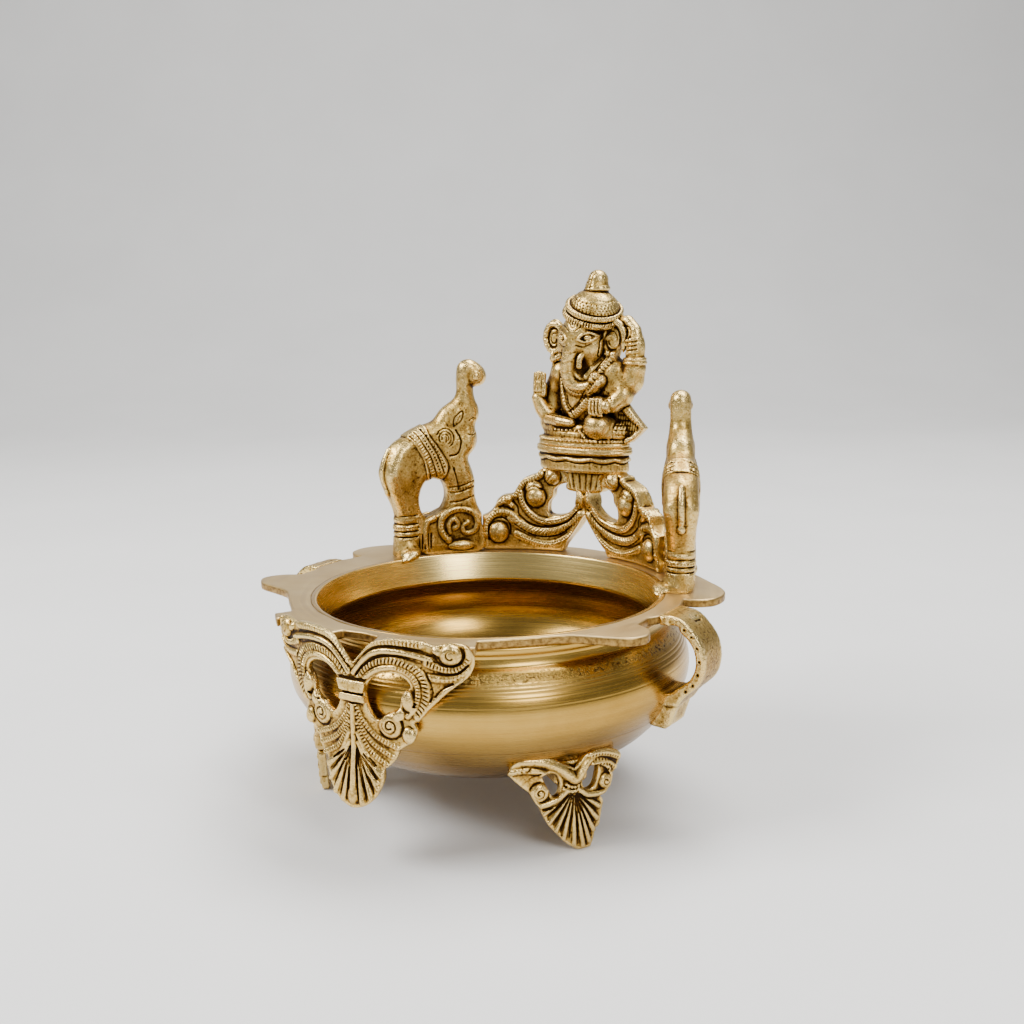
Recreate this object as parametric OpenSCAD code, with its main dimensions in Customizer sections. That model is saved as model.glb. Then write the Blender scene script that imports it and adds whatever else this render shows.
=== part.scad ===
// Brass urli bowl on three palmette feet, with a crest of two elephants and a seated Ganesha.
// Millimetres, +Z up. The origin is on the floor, in the middle of the rim casting's footprint.
// The turned bowl stands bowl_x to the right of that middle. Outlines are written as
// [distance along the curve, height above the rim], and are bent onto the ring they stand on.

/* [Bowl] */
// Inside radius of the mouth
mouth_r = 70; // [68:0.5:71]
// Height of the rim's top face above the floor
rim_z = 85; // [83:1:90]
// Sideways offset of the bowl's axis from the middle of the rim casting
bowl_x = 5; // [3:0.5:6]
// Width of the turned lip that stands in the rim plate
lip_w = 2; // [1.5:0.25:2.5]
// Depth of the turned lines round the shoulder
groove_d = 0.4; // [0.2:0.1:0.6]

/* [Rim plate] */
// Thickness of the rim plate
plate_t = 3.5; // [3:0.25:4.5]
// Radius of the cast-on pegs under the crest, and of their holes
peg_r = 1.6; // [1.2:0.1:2]

/* [Front panel] */
// Radius of the panel's inner face
panel_r = 83.6; // [83.4:0.2:84.2]
// Thickness of the panel
panel_t = 3.2; // [2.8:0.2:4]
// Sideways place of the middle of the panel's curve
panel_x = 3; // [2:0.5:4]
// How far the panel's tip stands out beyond its face
panel_flare = 2.6; // [0:0.2:4]

/* [Feet] */
// Thickness of each foot's casting
foot_t = 4; // [3:0.5:5]
// Radius of a foot's outer face at its top
foot_r = 73.5; // [73:0.5:74.5]
// How far the toe stands in from the foot's top
foot_tuck = 1; // [0:0.5:2]
// Width of the lug that joins a foot to the bowl
lug_w = 14; // [10:1:18]

/* [Handles] */
// Width of the handle strap
strap_w = 17; // [14:1:18]
// Thickness of the strap at the rim
strap_t = 3.5; // [3:0.25:4]
// Furthest reach of a handle from the middle of the rim casting
handle_reach = 102.5; // [100:0.5:106]
// Width of the pad at the foot of a handle
pad_w = 14; // [10:1:16]
// Radius of the tenon that enters the rim plate's edge
tenon_r = 1.2; // [0.8:0.1:1.4]

/* [Crest] */
// Height of the right elephant as a part of the left one's
right_height = 0.88; // [0.85:0.01:1]
// Radius of the ring that the crest stands on
crest_r = 78; // [77:0.5:79]
// Thickness of the two scroll castings
scroll_t = 8; // [6:1:10]
// Half the width of the pedestal's drum
drum_a = 24; // [22:0.5:25]
// Half the depth of the pedestal's drum
drum_b = 12; // [10:0.5:12]
// Radius of the tenon that holds the seated figure
seat_peg_r = 4; // [3:0.5:5]

/* [Hidden] */
$fn = 96;
BALL_FN = 24;
GAP = 0.2;            // clearance between neighbouring crest castings
FAR = 130;            // beyond the object, for cutting and extruding
polished = [0.82, 0.66, 0.34];
antique = [0.62, 0.46, 0.2];

// ---- curves -------------------------------------------------------------------------------

// A point is [x, y], or [x, y, 1] where the outline has a corner.
function flat(p) = [p[0], p[1]];
function slope(a, p, b) = len(p) == 3 ? [0, 0] : (flat(b) - flat(a)) / 2;
function hermite(p, q, m, n, t) =
    (2*t*t*t - 3*t*t + 1) * p + (t*t*t - 2*t*t + t) * m
    + (3*t*t - 2*t*t*t) * q + (t*t*t - t*t) * n;

// A closed outline through pts, with `steps` short sides between neighbouring points
function smooth(pts, steps = 4) =
    let (k = len(pts))
    [for (i = [0 : k - 1], j = [0 : steps - 1])
        let (a = pts[(i + k - 1) % k], p = pts[i], q = pts[(i + 1) % k], b = pts[(i + 2) % k])
        hermite(flat(p), flat(q), slope(a, p, q), slope(p, q, b), j / steps)];

// An open curve through pts
function smooth_open(pts, steps = 4) =
    let (k = len(pts))
    concat([for (i = [0 : k - 2], j = [0 : steps - 1])
        let (a = pts[max(i - 1, 0)], p = pts[i], q = pts[i + 1], b = pts[min(i + 2, k - 1)])
        hermite(flat(p), flat(q), slope(a, p, q), slope(p, q, b), j / steps)],
        [flat(pts[k - 1])]);

// The right half of an outline, followed by its mirror image
function with_mirror(half) =
    concat(half, [for (i = [len(half) - 1 : -1 : 0]) if (half[i][0] > 0.01)
        concat([-half[i][0]], [for (j = [1 : len(half[i]) - 1]) half[i][j]])]);

// Bend an outline onto a ring of radius r, seen square-on at arc length s0
function bend(pts, r, s0 = 0) = [for (p = pts) [r * sin((p[0] - s0) / r * 180 / PI), p[1]]];
function arc_deg(s, r) = s / r * 180 / PI;
function ellipse_pts(a, b, n = 48) = [for (i = [0 : n - 1]) [a * cos(i*360/n), b * sin(i*360/n)]];

// ---- bowl ---------------------------------------------------------------------------------

// Outside of the bowl below its seat, as [radius, height from the rim's top]
BELLY = smooth_open([[mouth_r + 1.5, -8], [mouth_r + 2.4, -10.6], [mouth_r + 5, -12.6],
    [mouth_r + 8, -16.4], [mouth_r + 10.2, -20.5], [mouth_r + 11.4, -25], [mouth_r + 11.5, -29.5],
    [mouth_r + 10.4, -34.5], [mouth_r + 8, -39], [mouth_r + 6, -42, 1], [mouth_r + 2.5, -46.5],
    [mouth_r - 0.5, -50], [mouth_r - 6, -55], [mouth_r - 14, -59], [mouth_r - 19, -60.7, 1]]);
// Inside of the bowl, from the lower edge of the neck band to the middle of the floor
HOLLOW = smooth_open([[mouth_r - 3.1, -11.3, 1], [mouth_r - 2.4, -13], [mouth_r + 3, -16],
    [mouth_r + 6.8, -20], [mouth_r + 8.2, -25], [mouth_r + 8.3, -30], [mouth_r + 6.8, -35.5],
    [mouth_r + 3.4, -41], [mouth_r - 2, -46.8], [mouth_r - 9, -51.5], [mouth_r - 21, -55.3],
    [mouth_r - 42, -57], [0, -57.4, 1]]);
SEAT = mouth_r + lip_w + 1.3;      // radius of the collar that the rim plate rests on
BASE = mouth_r - 19;               // outer radius of the flat base ring

function belly_r(z) = lookup(z, [for (i = [len(BELLY) - 1 : -1 : 0]) [BELLY[i][1], BELLY[i][0]]]);

module on_bowl_axis() { translate([bowl_x, 0, rim_z]) children(); }

// The bowl without its hollow, for fitting lugs and pads against its outside
module bowl_outside() {
    on_bowl_axis()
        rotate_extrude()
            polygon(concat([[0, -plate_t], [SEAT, -plate_t], [SEAT, -plate_t - 1.5]],
                BELLY, [[BASE - 3, -60.7], [BASE - 4, -59.7], [0, -59.7]]));
}

module bowl_shell() {
    color(polished)
    on_bowl_axis()
    difference() {
        rotate_extrude()
            polygon(concat([[mouth_r, 0], [mouth_r + lip_w, 0], [mouth_r + lip_w, -plate_t],
                [SEAT, -plate_t], [SEAT, -plate_t - 1.5]],
                BELLY, [[BASE - 3, -60.7], [BASE - 4, -59.7], [0, -59.7]],
                [for (i = [len(HOLLOW) - 1 : -1 : 0]) HOLLOW[i]]));
        for (z = [-17.5, -19.5, -21.5, -24])
            translate([0, 0, z])
                rotate_extrude()
                    polygon([[belly_r(z) - groove_d, 0], [belly_r(z) + 2, 1.6],
                        [belly_r(z) + 2, -1.6]]);
    }
}

// ---- rim plate ----------------------------------------------------------------------------

PLATE_HALF = [[0, -75.5], [8, -76.5, 1], [11, -84, 1], [20, -88], [34, -82], [47, -71, 1],
    [43.5, -64.5, 1], [50, -58.5], [59, -50], [67, -42.5], [77, -39], [87, -36], [92.3, -29],
    [89, -21], [82.5, -17, 1], [82, -8, 1], [84.5, -3, 1], [84.5, 14, 1], [83, 19, 1],
    [81.5, 24, 1], [87, 25.5], [92, 31], [92, 40], [87, 48], [79, 55], [70, 62.5], [57.5, 71.5],
    [41, 79.5], [20, 84.5], [0, 87]];
STRAP_Y = 5.5;                     // middle of a handle strap
LUG_DEG = [-20, 20];               // directions of the panel's two pegs
LUG_PEG_R = 1.5;
LUG_PEG_RING = panel_r - 4;
ELEPHANT_PEGS = [-85, -56];        // arc lengths of an elephant's two pegs
SCROLL_PEGS = [-42, -16];
JOIN_S = 3;                        // arc length where the two scrolls meet
FIGURE_S = 1;                      // arc length of the middle of the seated figure
TURN_S = 87;                       // arc length where the right elephant is square to the ring

module on_panel_axis() { translate([panel_x, 0, rim_z]) children(); }
module at_crest(s) { rotate([0, 0, -arc_deg(s, crest_r)]) translate([0, crest_r, 0]) children(); }

module peg_holes() {
    on_bowl_axis() {
        for (s = concat(ELEPHANT_PEGS, SCROLL_PEGS, [for (p = SCROLL_PEGS) 2 * JOIN_S - p]))
            at_crest(s) translate([0, 0, -FAR / 2]) cylinder(r = peg_r, h = FAR);
        for (s = ELEPHANT_PEGS)
            at_crest(TURN_S) translate([-s - TURN_S, 0, -FAR / 2]) cylinder(r = peg_r, h = FAR);
    }
    on_panel_axis()
        for (a = LUG_DEG)
            rotate([0, 0, a]) translate([0, -LUG_PEG_RING, -FAR / 2]) cylinder(r = LUG_PEG_R, h = FAR);
    for (side = [-1, 1])
        translate([side * (84.5 - 6), STRAP_Y, rim_z - plate_t / 2])
            rotate([0, side * 90, 0]) cylinder(r = tenon_r, h = 20);
}

module rim_plate() {
    color(polished)
    difference() {
        translate([0, 0, rim_z - plate_t]) linear_extrude(plate_t)
            difference() {
                polygon(smooth(with_mirror(PLATE_HALF)));
                translate([bowl_x, 0]) circle(r = mouth_r + lip_w);
                translate([panel_x, 0]) intersection() {
                    difference() { circle(r = FAR); circle(r = panel_r); }
                    polygon([[0, 0], [-75, -FAR], [75, -FAR]]);
                }
            }
        peg_holes();
    }
}

// ---- front panel --------------------------------------------------------------------------

PANEL_HALF = [[0, -7.5, 1], [9, 0, 1], [15, 1.5], [25, 2], [36, 2], [44, 1.5], [48, -0.5],
    [48, -5], [46, -9], [41, -13.5], [36, -18], [31, -22.5], [27.5, -27, 1], [25.5, -28, 1],
    [26, -31.5], [23, -36], [18.5, -41], [15, -45, 1], [13.5, -49], [10.5, -55], [6, -60.5],
    [0, -62.6]];
PANEL_EYE = [[15.5, -9.5], [20.5, -12], [22.5, -17], [21, -22], [16.5, -25.5], [11.5, -25],
    [9, -20], [9, -14], [11.5, -10.5]];
PANEL_TIP = -62.6;
PANEL_BEND = -40;                  // below this height the panel leans outwards

module front_panel() {
    color(antique)
    on_panel_axis() {
        intersection() {
            rotate([90, 0, 0]) linear_extrude(FAR)
                difference() {
                    polygon(bend(smooth(with_mirror(PANEL_HALF)), panel_r));
                    for (side = [0, 1])
                        mirror([side, 0]) polygon(bend(smooth(PANEL_EYE), panel_r));
                }
            rotate_extrude()
                polygon([[panel_r, 5], [panel_r + panel_t, 5], [panel_r + panel_t, PANEL_BEND],
                    [panel_r + panel_t + panel_flare, PANEL_TIP],
                    [panel_r + panel_flare, PANEL_TIP], [panel_r, PANEL_BEND]]);
        }
        for (a = LUG_DEG)
            rotate([0, 0, a]) {
                intersection() {
                    translate([-4, -panel_r - 1, -2 * plate_t]) cube([8, 8, plate_t]);
                    translate([0, 0, -FAR / 2]) cylinder(r = panel_r + panel_t / 2, h = FAR);
                }
                translate([0, -LUG_PEG_RING, -plate_t - 1]) cylinder(r = LUG_PEG_R, h = plate_t + 1);
            }
    }
}

// ---- feet ---------------------------------------------------------------------------------

FOOT = [[1, -52, 1], [3.3, -49.8], [6.1, -47.6], [11, -46.5], [16, -47.1], [21.2, -49.2], [23.4, -51.4],
    [22.1, -54.6], [18.9, -57.9, 1], [17.2, -62.2], [16.4, -64.4], [12.4, -65.2, 1], [14.1, -67.6],
    [13.4, -72], [12.4, -77.4, 1], [10.2, -78.2, 1], [9.6, -82], [8.4, -rim_z, 1], [3, -rim_z, 1],
    [0.8, -83.8], [-3.4, -80.6], [-6.7, -76.8], [-10, -73], [-12.9, -67.6, 1], [-13.5, -65.5],
    [-15.8, -62.2], [-17.5, -59, 1], [-21.3, -55.7], [-25.6, -51.4, 1], [-23.9, -47.6], [-20, -46.2],
    [-15, -46], [-9, -46.5], [-4.8, -48.7]];
FOOT_HOLES = [[[-12, -53], [-7.5, -53.4], [-6.5, -57.5], [-8.6, -61], [-11.5, -60.5]],
    [[6.5, -54.5], [10, -53.3], [10.5, -56.5], [7.8, -60.6], [4.2, -60.5], [3.6, -57.5]]];
FOOT_TOP = -45.5;
FOOT_DEG = 58;                     // direction of the right foot, from the front

module foot() {
    difference() {
        union() {
            intersection() {
                rotate([90, 0, 0]) linear_extrude(FAR)
                    difference() {
                        polygon(bend(smooth(FOOT), foot_r));
                        for (h = FOOT_HOLES) polygon(bend(smooth(h), foot_r));
                    }
                rotate_extrude()
                    polygon([[foot_r - foot_t, FOOT_TOP], [foot_r, FOOT_TOP],
                        [foot_r - foot_tuck, -rim_z], [foot_r - foot_tuck - foot_t, -rim_z]]);
            }
            translate([-lug_w / 2, 0, 0]) rotate([90, 0, 90]) linear_extrude(lug_w)
                polygon([[-foot_r + 2, -56], [-foot_r + 3, -61.5], [-64, -60.5], [-58, -57],
                    [-66, -48], [-foot_r + foot_t, -50.5]]);
        }
        translate([0, 0, -rim_z]) translate([-bowl_x, 0, 0]) bowl_outside();
    }
}

module foot_at(angle) { color(antique) on_bowl_axis() rotate([0, 0, angle]) foot(); }
module foot_right() { foot_at(FOOT_DEG); }
module foot_left() { foot_at(FOOT_DEG - 120); }
module foot_back() { foot_at(FOOT_DEG + 120); }

// ---- handles ------------------------------------------------------------------------------

// The strap's outline from the side; flank is how far the bowl's axis stands towards this handle
function strap_pts(flank) = let (r = handle_reach) smooth([[84.5, 0, 1], [91, -0.2],
    [r - 7, -3], [r - 1.8, -9], [r, -16.5], [r - 2, -24.5], [r - 8.5, -31],
    [flank + 84.5, -34.5, 1], [flank + 76, -34.5, 1], [flank + 76, -30.5, 1],
    [flank + 83, -30.2], [r - 11.5, -28], [r - 5.8, -23], [r - strap_t - 0.3, -16.5],
    [r - 5.5, -10.3], [r - 10, -5.5], [91, -strap_t], [84.5, -strap_t, 1]]);
function pad_pts(flank) = [[flank + 84.5, -34.5], [flank + 86.6, -31], [flank + 76, -31],
    [flank + 72, -45], [flank + 80, -45.5], [flank + 82.2, -43.5]];

module handle(flank) {
    translate([0, STRAP_Y, rim_z]) {
        rotate([90, 0, 0]) {
            translate([0, 0, -strap_w / 2]) linear_extrude(strap_w) polygon(strap_pts(flank));
            translate([0, 0, -pad_w / 2]) linear_extrude(pad_w) polygon(pad_pts(flank));
        }
        translate([84.5 - 6, 0, -plate_t / 2]) rotate([0, 90, 0]) cylinder(r = tenon_r, h = 7);
    }
}

module handle_right() {
    color(antique) difference() { handle(bowl_x); bowl_outside(); }
}

module handle_left() {
    color(antique) difference() { mirror([1, 0, 0]) handle(-bowl_x); bowl_outside(); }
}

// ---- crest --------------------------------------------------------------------------------

// A casting with the outline pts, bent round the crest ring. profile is its section through
// the thickness, as [radius from the crest ring, height]
module crest_casting(pts, s0, profile, holes = []) {
    rotate([0, 0, -arc_deg(s0, crest_r)])
        intersection() {
            rotate([90, 0, 180]) linear_extrude(FAR)
                mirror([1, 0]) difference() {
                    polygon(bend(smooth(pts, 3), crest_r, s0));
                    for (h = holes) polygon(bend(smooth(h, 3), crest_r, s0));
                }
            rotate_extrude() polygon([for (p = profile) [crest_r + p[0], p[1]]]);
        }
}

module peg() { translate([0, 0, -plate_t]) cylinder(r = peg_r, h = plate_t + 2); }

// The part of the crest ring between arc lengths a and b, up to height top
module slice(a, b, top) {
    translate([0, 0, -1]) linear_extrude(top + 1)
        polygon([[0, 0], for (s = [a, b])
            2 * FAR * [sin(arc_deg(s, crest_r)), cos(arc_deg(s, crest_r))]]);
}

ELEPHANT_END = -48.5;              // arc length of the front of an elephant's plinth
ELEPHANT = [[-91, 0, 1], [-90, 12], [-90.5, 21], [-93.5, 30], [-96, 40], [-91, 50], [-83, 55.5],
    [-76, 59], [-70, 61.5], [-66, 67], [-61, 70.5], [-59, 75], [-58.5, 84], [-55, 88.5],
    [-50, 88.5], [-46.5, 85], [-45.5, 80.5], [-48, 77.5], [-51.5, 77], [-50.5, 71],
    [-50, 65], [-51, 56], [-53, 47], [-54, 40], [-52.5, 32], [-51.5, 24], [-49, 17, 1],
    [ELEPHANT_END, 0, 1]];
ELEPHANT_GAP = [[-72, 35.5], [-66.5, 32], [-65.5, 25], [-69, 18.5], [-74.5, 17.5], [-78.5, 21],
    [-79, 28], [-76.5, 33.5]];
ELEPHANT_SECTION = [[-6, 0], [6, 0], [6, 30], [7, 38], [7, 52], [5, 60], [4.5, 66], [4.5, 90],
    [-4.5, 90], [-4.5, 66], [-5, 60], [-7, 52], [-7, 38], [-6, 30]];

// Points with their heights multiplied by k
function squat(pts, k) = [for (p = pts) [for (i = [0 : len(p) - 1]) i == 1 ? k * p[1] : p[i]]];

// Bent round the crest ring
module elephant_left() {
    color(antique)
    on_bowl_axis() {
        difference() {
            crest_casting(ELEPHANT, -72, ELEPHANT_SECTION, [ELEPHANT_GAP]);
            slice(ELEPHANT_END, ELEPHANT_END + 12, 20);
        }
        for (s = ELEPHANT_PEGS) at_crest(s) peg();
    }
}

// Lower, the other way round, and left straight
module elephant_right() {
    color(antique)
    on_bowl_axis() at_crest(TURN_S) mirror([1, 0, 0]) translate([TURN_S, 0, 0]) {
        intersection() {
            rotate([90, 0, 0]) linear_extrude(FAR, center = true)
                difference() {
                    polygon(smooth(squat(ELEPHANT, right_height), 3));
                    polygon(smooth(squat(ELEPHANT_GAP, right_height), 3));
                }
            rotate([90, 0, 90]) linear_extrude(2 * FAR, center = true)
                polygon(squat(ELEPHANT_SECTION, right_height));
        }
        for (s = ELEPHANT_PEGS) translate([s, 0, 0]) peg();
    }
}

SADDLE_Z = 30;                     // height where the pedestal's stem lands on the two scrolls
SCROLL = [[-51, 0, 1], [-51, 16, 1], [-48.3, 16, 1], [-45, 17.4], [-42.6, 20], [-41, 23.4], [-38, 25.6],
    [-33.4, 26.2, 1], [-31.4, 29.6], [-29, 33], [-25, 35], [-21.4, 36, 1], [-20, 38], [-15, 39],
    [-9, 38.4], [-6.8, 36.5, 1], [-6.4, SADDLE_Z, 1], [5, SADDLE_Z, 1], [5, 20, 1], [0.6, 15],
    [-3, 10], [-6.6, 5.4], [-8.6, 1.6, 1], [-9.4, 0, 1]];
SCROLL_GAP = [[-16.2, 18.4], [-16, 22.6], [-13.8, 25.8], [-12.8, 29], [-10.4, 30.6], [-8, 28.5],
    [-5, 27.2], [-2, 26.6], [-1.4, 24.6], [-2.8, 22], [-6, 18.8], [-10.4, 17.2], [-14.4, 17]];
SCROLL_BOSSES = [[-40.8, 8.6, 5], [-22.2, 25.4, 4.6], [-13.6, 34.6, 3.8]];

module scroll() {
    intersection() {
        union() {
            crest_casting(SCROLL, -24, [[-scroll_t / 2, 0], [scroll_t / 2, 0],
                [scroll_t / 2, 40], [-scroll_t / 2, 40]], [SCROLL_GAP]);
            for (b = SCROLL_BOSSES)
                at_crest(b[0]) translate([0, scroll_t / 2 + 1, b[1]])
                    rotate([90, 0, 0]) cylinder(r = b[2], h = scroll_t + 2);
        }
        slice(ELEPHANT_END + GAP, JOIN_S - GAP / 2, FAR);
    }
    for (s = SCROLL_PEGS) at_crest(s) peg();
}

module scroll_left() { color(antique) on_bowl_axis() scroll(); }

// The other way round, and cut away where it meets the straight elephant
module scroll_right() {
    color(antique)
    on_bowl_axis()
    difference() {
        rotate([0, 0, -arc_deg(2 * JOIN_S, crest_r)]) mirror([1, 0, 0]) scroll();
        at_crest(TURN_S) translate([-ELEPHANT_END - TURN_S - GAP, -6 - GAP, -1]) cube([60, 30, 60]);
    }
}

DRUM_Z = 38.5;                     // underside of the drum
SEAT_Z = 50;                       // top of the drum

module pedestal() {
    color(antique)
    on_bowl_axis()
    difference() {
        union() {
            at_crest(JOIN_S) translate([0, 0, SADDLE_Z]) linear_extrude(DRUM_Z - SADDLE_Z + 1)
                polygon([[-7.4, -4.6], [7.4, -4.6], [9.6, 4.6], [-9.6, 4.6]]);
            at_crest(FIGURE_S) {
                translate([0, 0, DRUM_Z]) linear_extrude(8)
                    polygon(ellipse_pts(drum_a - 1.5, drum_b - 1));
                translate([0, 0, DRUM_Z + 8]) linear_extrude(SEAT_Z - DRUM_Z - 8)
                    polygon(ellipse_pts(drum_a, drum_b));
            }
        }
        at_crest(FIGURE_S) translate([0, 0, SEAT_Z - 7]) cylinder(r = seat_peg_r, h = 20);
    }
}

module ball(p, r) { translate(p) sphere(r = r, $fn = BALL_FN); }
module limb(p, r1, q, r2) { hull() { ball(p, r1); ball(q, r2); } }
module ear(x, z) { translate([x, 2, z]) rotate([90, 0, 0]) cylinder(r = 7, h = 4); }

// Body, head, turban and topknot, turned about the figure's own axis
FIGURE = concat([[0, 53]], smooth_open([[9, 53, 1], [11, 60], [11, 66], [9, 72], [9.5, 80],
    [8, 86], [7, 89], [9.5, 94], [10, 99], [9.5, 103, 1]]),
    smooth_open([[11.5, 104, 1], [13.5, 107], [13, 111], [10, 115], [6, 117, 1]]),
    smooth_open([[5.5, 119, 1], [5, 122], [3, 126], [0, 127, 1]]));

module ganesha() {
    color(antique)
    on_bowl_axis() at_crest(FIGURE_S) {
        translate([0, 0, SEAT_Z - 7]) cylinder(r = seat_peg_r, h = 10);
        translate([0, 0, SEAT_Z]) linear_extrude(5) polygon(ellipse_pts(drum_a - 2, drum_b));
        limb([-14, -3, 57], 6, [18, -3, 57], 6);
        translate([4, -1.5, 0]) rotate_extrude() polygon(FIGURE);
        ear(16, 97);
        ear(-11.5, 97);
        limb([1.5, -7.5, 99], 5, [-2.5, -9, 86], 4);
        limb([-2.5, -9, 86], 4, [2, -9, 78], 3);
        limb([-9, -1, 83], 5.5, [-17, -2, 62], 4.5);
        limb([-17, -2, 62], 4.5, [-21, -5, 79], 3.2);
        limb([13, 0, 82], 7, [23.5, -1, 80], 5);
        limb([23.5, -1, 80], 5, [25.5, -1, 98], 4);
        translate([0, 3, 0]) rotate([90, 0, 0]) linear_extrude(4)
            polygon([[16, 72], [31, 60.8], [22, 53]]);
    }
}

bowl_shell();
rim_plate();
front_panel();
foot_right();
foot_left();
foot_back();
handle_right();
handle_left();
elephant_left();
elephant_right();
scroll_left();
scroll_right();
pedestal();
ganesha();
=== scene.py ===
"""Brass urli bowl: the visual model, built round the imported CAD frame.

Every casting is modelled as a block of clay: a grid that holds each cell's distance to the
surface. Balls, limbs, strips and plates are melted together, lines and hollows are cut out,
and the surface is then taken from the grid. Lengths are in millimetres until a mesh is made.
"""
import math

import bpy
import numpy as np
import openvdb as vdb
from mathutils import Matrix, Vector, geometry, noise


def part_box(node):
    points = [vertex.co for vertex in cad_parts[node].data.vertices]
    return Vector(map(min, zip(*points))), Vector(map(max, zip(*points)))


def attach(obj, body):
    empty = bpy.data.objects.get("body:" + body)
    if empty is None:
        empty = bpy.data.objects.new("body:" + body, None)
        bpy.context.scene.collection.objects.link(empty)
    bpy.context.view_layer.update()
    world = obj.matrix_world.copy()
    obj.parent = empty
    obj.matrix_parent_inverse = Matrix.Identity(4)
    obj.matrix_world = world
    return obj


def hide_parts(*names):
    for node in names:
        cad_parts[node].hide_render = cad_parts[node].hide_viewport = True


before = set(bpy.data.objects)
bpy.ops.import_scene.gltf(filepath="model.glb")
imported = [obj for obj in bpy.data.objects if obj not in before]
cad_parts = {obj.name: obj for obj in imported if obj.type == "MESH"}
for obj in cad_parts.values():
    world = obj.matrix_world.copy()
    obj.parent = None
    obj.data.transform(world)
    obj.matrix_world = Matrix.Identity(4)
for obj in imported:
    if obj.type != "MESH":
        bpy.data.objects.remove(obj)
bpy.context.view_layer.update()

MM = 0.001
MOUTH_R = 70.0                      # inside radius of the bowl's mouth
LIP_W = 2.0                         # width of the turned lip inside the rim plate
CREST_R = 78.0                      # radius of the ring that the crest stands on
RIM_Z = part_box("rim_plate")[1].z / MM
PLATE_T = RIM_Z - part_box("rim_plate")[0].z / MM
BOWL_X = (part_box("bowl_shell")[0].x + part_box("bowl_shell")[1].x) / 2 / MM


# ---- curves ------------------------------------------------------------------------------

def spline(points, closed=False, steps=6):
    """A smooth curve through points. A point with a third value of None is a corner."""
    flat = [np.array(p[:2], float) if p[-1] is None else np.array(p, float) for p in points]
    corner = [p[-1] is None for p in points]
    count = len(points)
    out = []
    for i in range(count if closed else count - 1):
        j = (i + 1) % count
        before = flat[i - 1] if closed or i > 0 else flat[i]
        after = flat[(i + 2) % count] if closed or i + 2 < count else flat[j]
        m = np.zeros_like(flat[i]) if corner[i] else (flat[j] - before) / 2
        n = np.zeros_like(flat[i]) if corner[j] else (after - flat[i]) / 2
        for t in np.arange(steps) / steps:
            out.append((2*t**3 - 3*t**2 + 1) * flat[i] + (t**3 - 2*t**2 + t) * m
                       + (3*t**2 - 2*t**3) * flat[j] + (t**3 - t**2) * n)
    if not closed:
        out.append(flat[-1])
    return np.array(out)


def evenly(curve, gap):
    """Points along a curve, about gap apart, with the direction at each."""
    curve = np.asarray(curve, float)
    steps = np.linalg.norm(np.diff(curve, axis=0), axis=1)
    along = np.concatenate([[0], np.cumsum(steps)])
    count = max(int(round(along[-1] / gap)), 1)
    at = (np.arange(count) + 0.5) * along[-1] / count
    def point(lengths):
        return np.stack([np.interp(lengths, along, curve[:, k]) for k in range(curve.shape[1])], 1)
    way = point(np.minimum(at + 0.2, along[-1])) - point(np.maximum(at - 0.2, 0))
    return point(at), way / np.linalg.norm(way, axis=1, keepdims=True)


def spiral(centre, radius, turns, start, steps=14, inner=0.25):
    """A flat spiral that winds in from radius to inner * radius."""
    a = np.linspace(0, 1, int(abs(turns) * steps) + 1)
    angle = math.radians(start) + a * turns * 2 * math.pi
    r = radius * (1 + (inner - 1) * a)
    return np.stack([centre[0] + r * np.cos(angle), centre[1] + r * np.sin(angle)], 1)


def mirrored(half):
    """The right half of an outline, followed by its mirror image."""
    back = [(-p[0],) + tuple(p[1:]) for p in reversed(half) if p[0] > 0.01]
    return list(half) + back


# ---- clay --------------------------------------------------------------------------------

REACH = 1.6                         # how far round a shape the grid is brought up to date


class Clay:
    """A grid of distances to the surface, negative inside. x runs along, y outward, z up."""

    def __init__(self, low, high, cell):
        self.cell = cell
        self.axes = [np.arange(lo, hi + cell, cell, dtype=np.float32)
                     for lo, hi in zip(low, high)]
        self.field = np.full([len(a) for a in self.axes], 4.0, np.float32)

    def window(self, low, high, margin):
        """The grid's slices and its coordinates inside a box."""
        spans = []
        for axis, lo, hi in zip(self.axes, low, high):
            first, last = np.searchsorted(axis, (lo - margin, hi + margin))
            spans.append(slice(int(first), max(int(last), int(first))))
        x, y, z = (axis[s] for axis, s in zip(self.axes, spans))
        return tuple(spans), x[:, None, None], y[None, :, None], z[None, None, :]

    def add(self, shape, melt=0.0):
        """Melt a shape into the clay, over a fillet about melt wide."""
        self.merge(shape, melt, 1)

    def cut(self, shape, melt=0.0):
        """Take a shape out of the clay, and round the edge over about melt."""
        self.merge(shape, melt, -1)

    def merge(self, shape, melt, sign):
        """Join the clay and a shape, or with sign -1 the clay and everything but the shape."""
        distance, low, high = shape
        spans, x, y, z = self.window(low, high, REACH + melt)
        if min(len(x), y.shape[1], z.shape[2]) == 0:
            return
        old = self.field[spans]
        new = sign * np.broadcast_to(distance(x, y, z), old.shape)
        merged = np.minimum(old, new) if sign > 0 else np.maximum(old, new)
        if melt > 0:
            blend = np.maximum(melt - np.abs(old - new), 0) / melt
            merged = merged - sign * (blend * blend * melt / 4)
        self.field[spans] = merged

    def swell(self, outline, height):
        """Raise the skin by height inside an outline, seen from the front."""
        spans, x, _, z = self.window((outline[:, 0].min(), -99, outline[:, 1].min()),
                                     (outline[:, 0].max(), 99, outline[:, 1].max()), 1.0)
        inside = np.clip(0.5 - outline_distance(outline, x[:, 0, :], z[0, :, :]) / 0.5, 0, 1)
        self.field[spans] -= (height * inside)[:, None, :].astype(np.float32)

    def keep(self, distance):
        """Cut away everything outside a shape that fills the whole grid."""
        x, y, z = self.axes
        self.field = np.maximum(self.field, distance(x[:, None, None], y[None, :, None],
                                                     z[None, None, :]))


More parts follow.
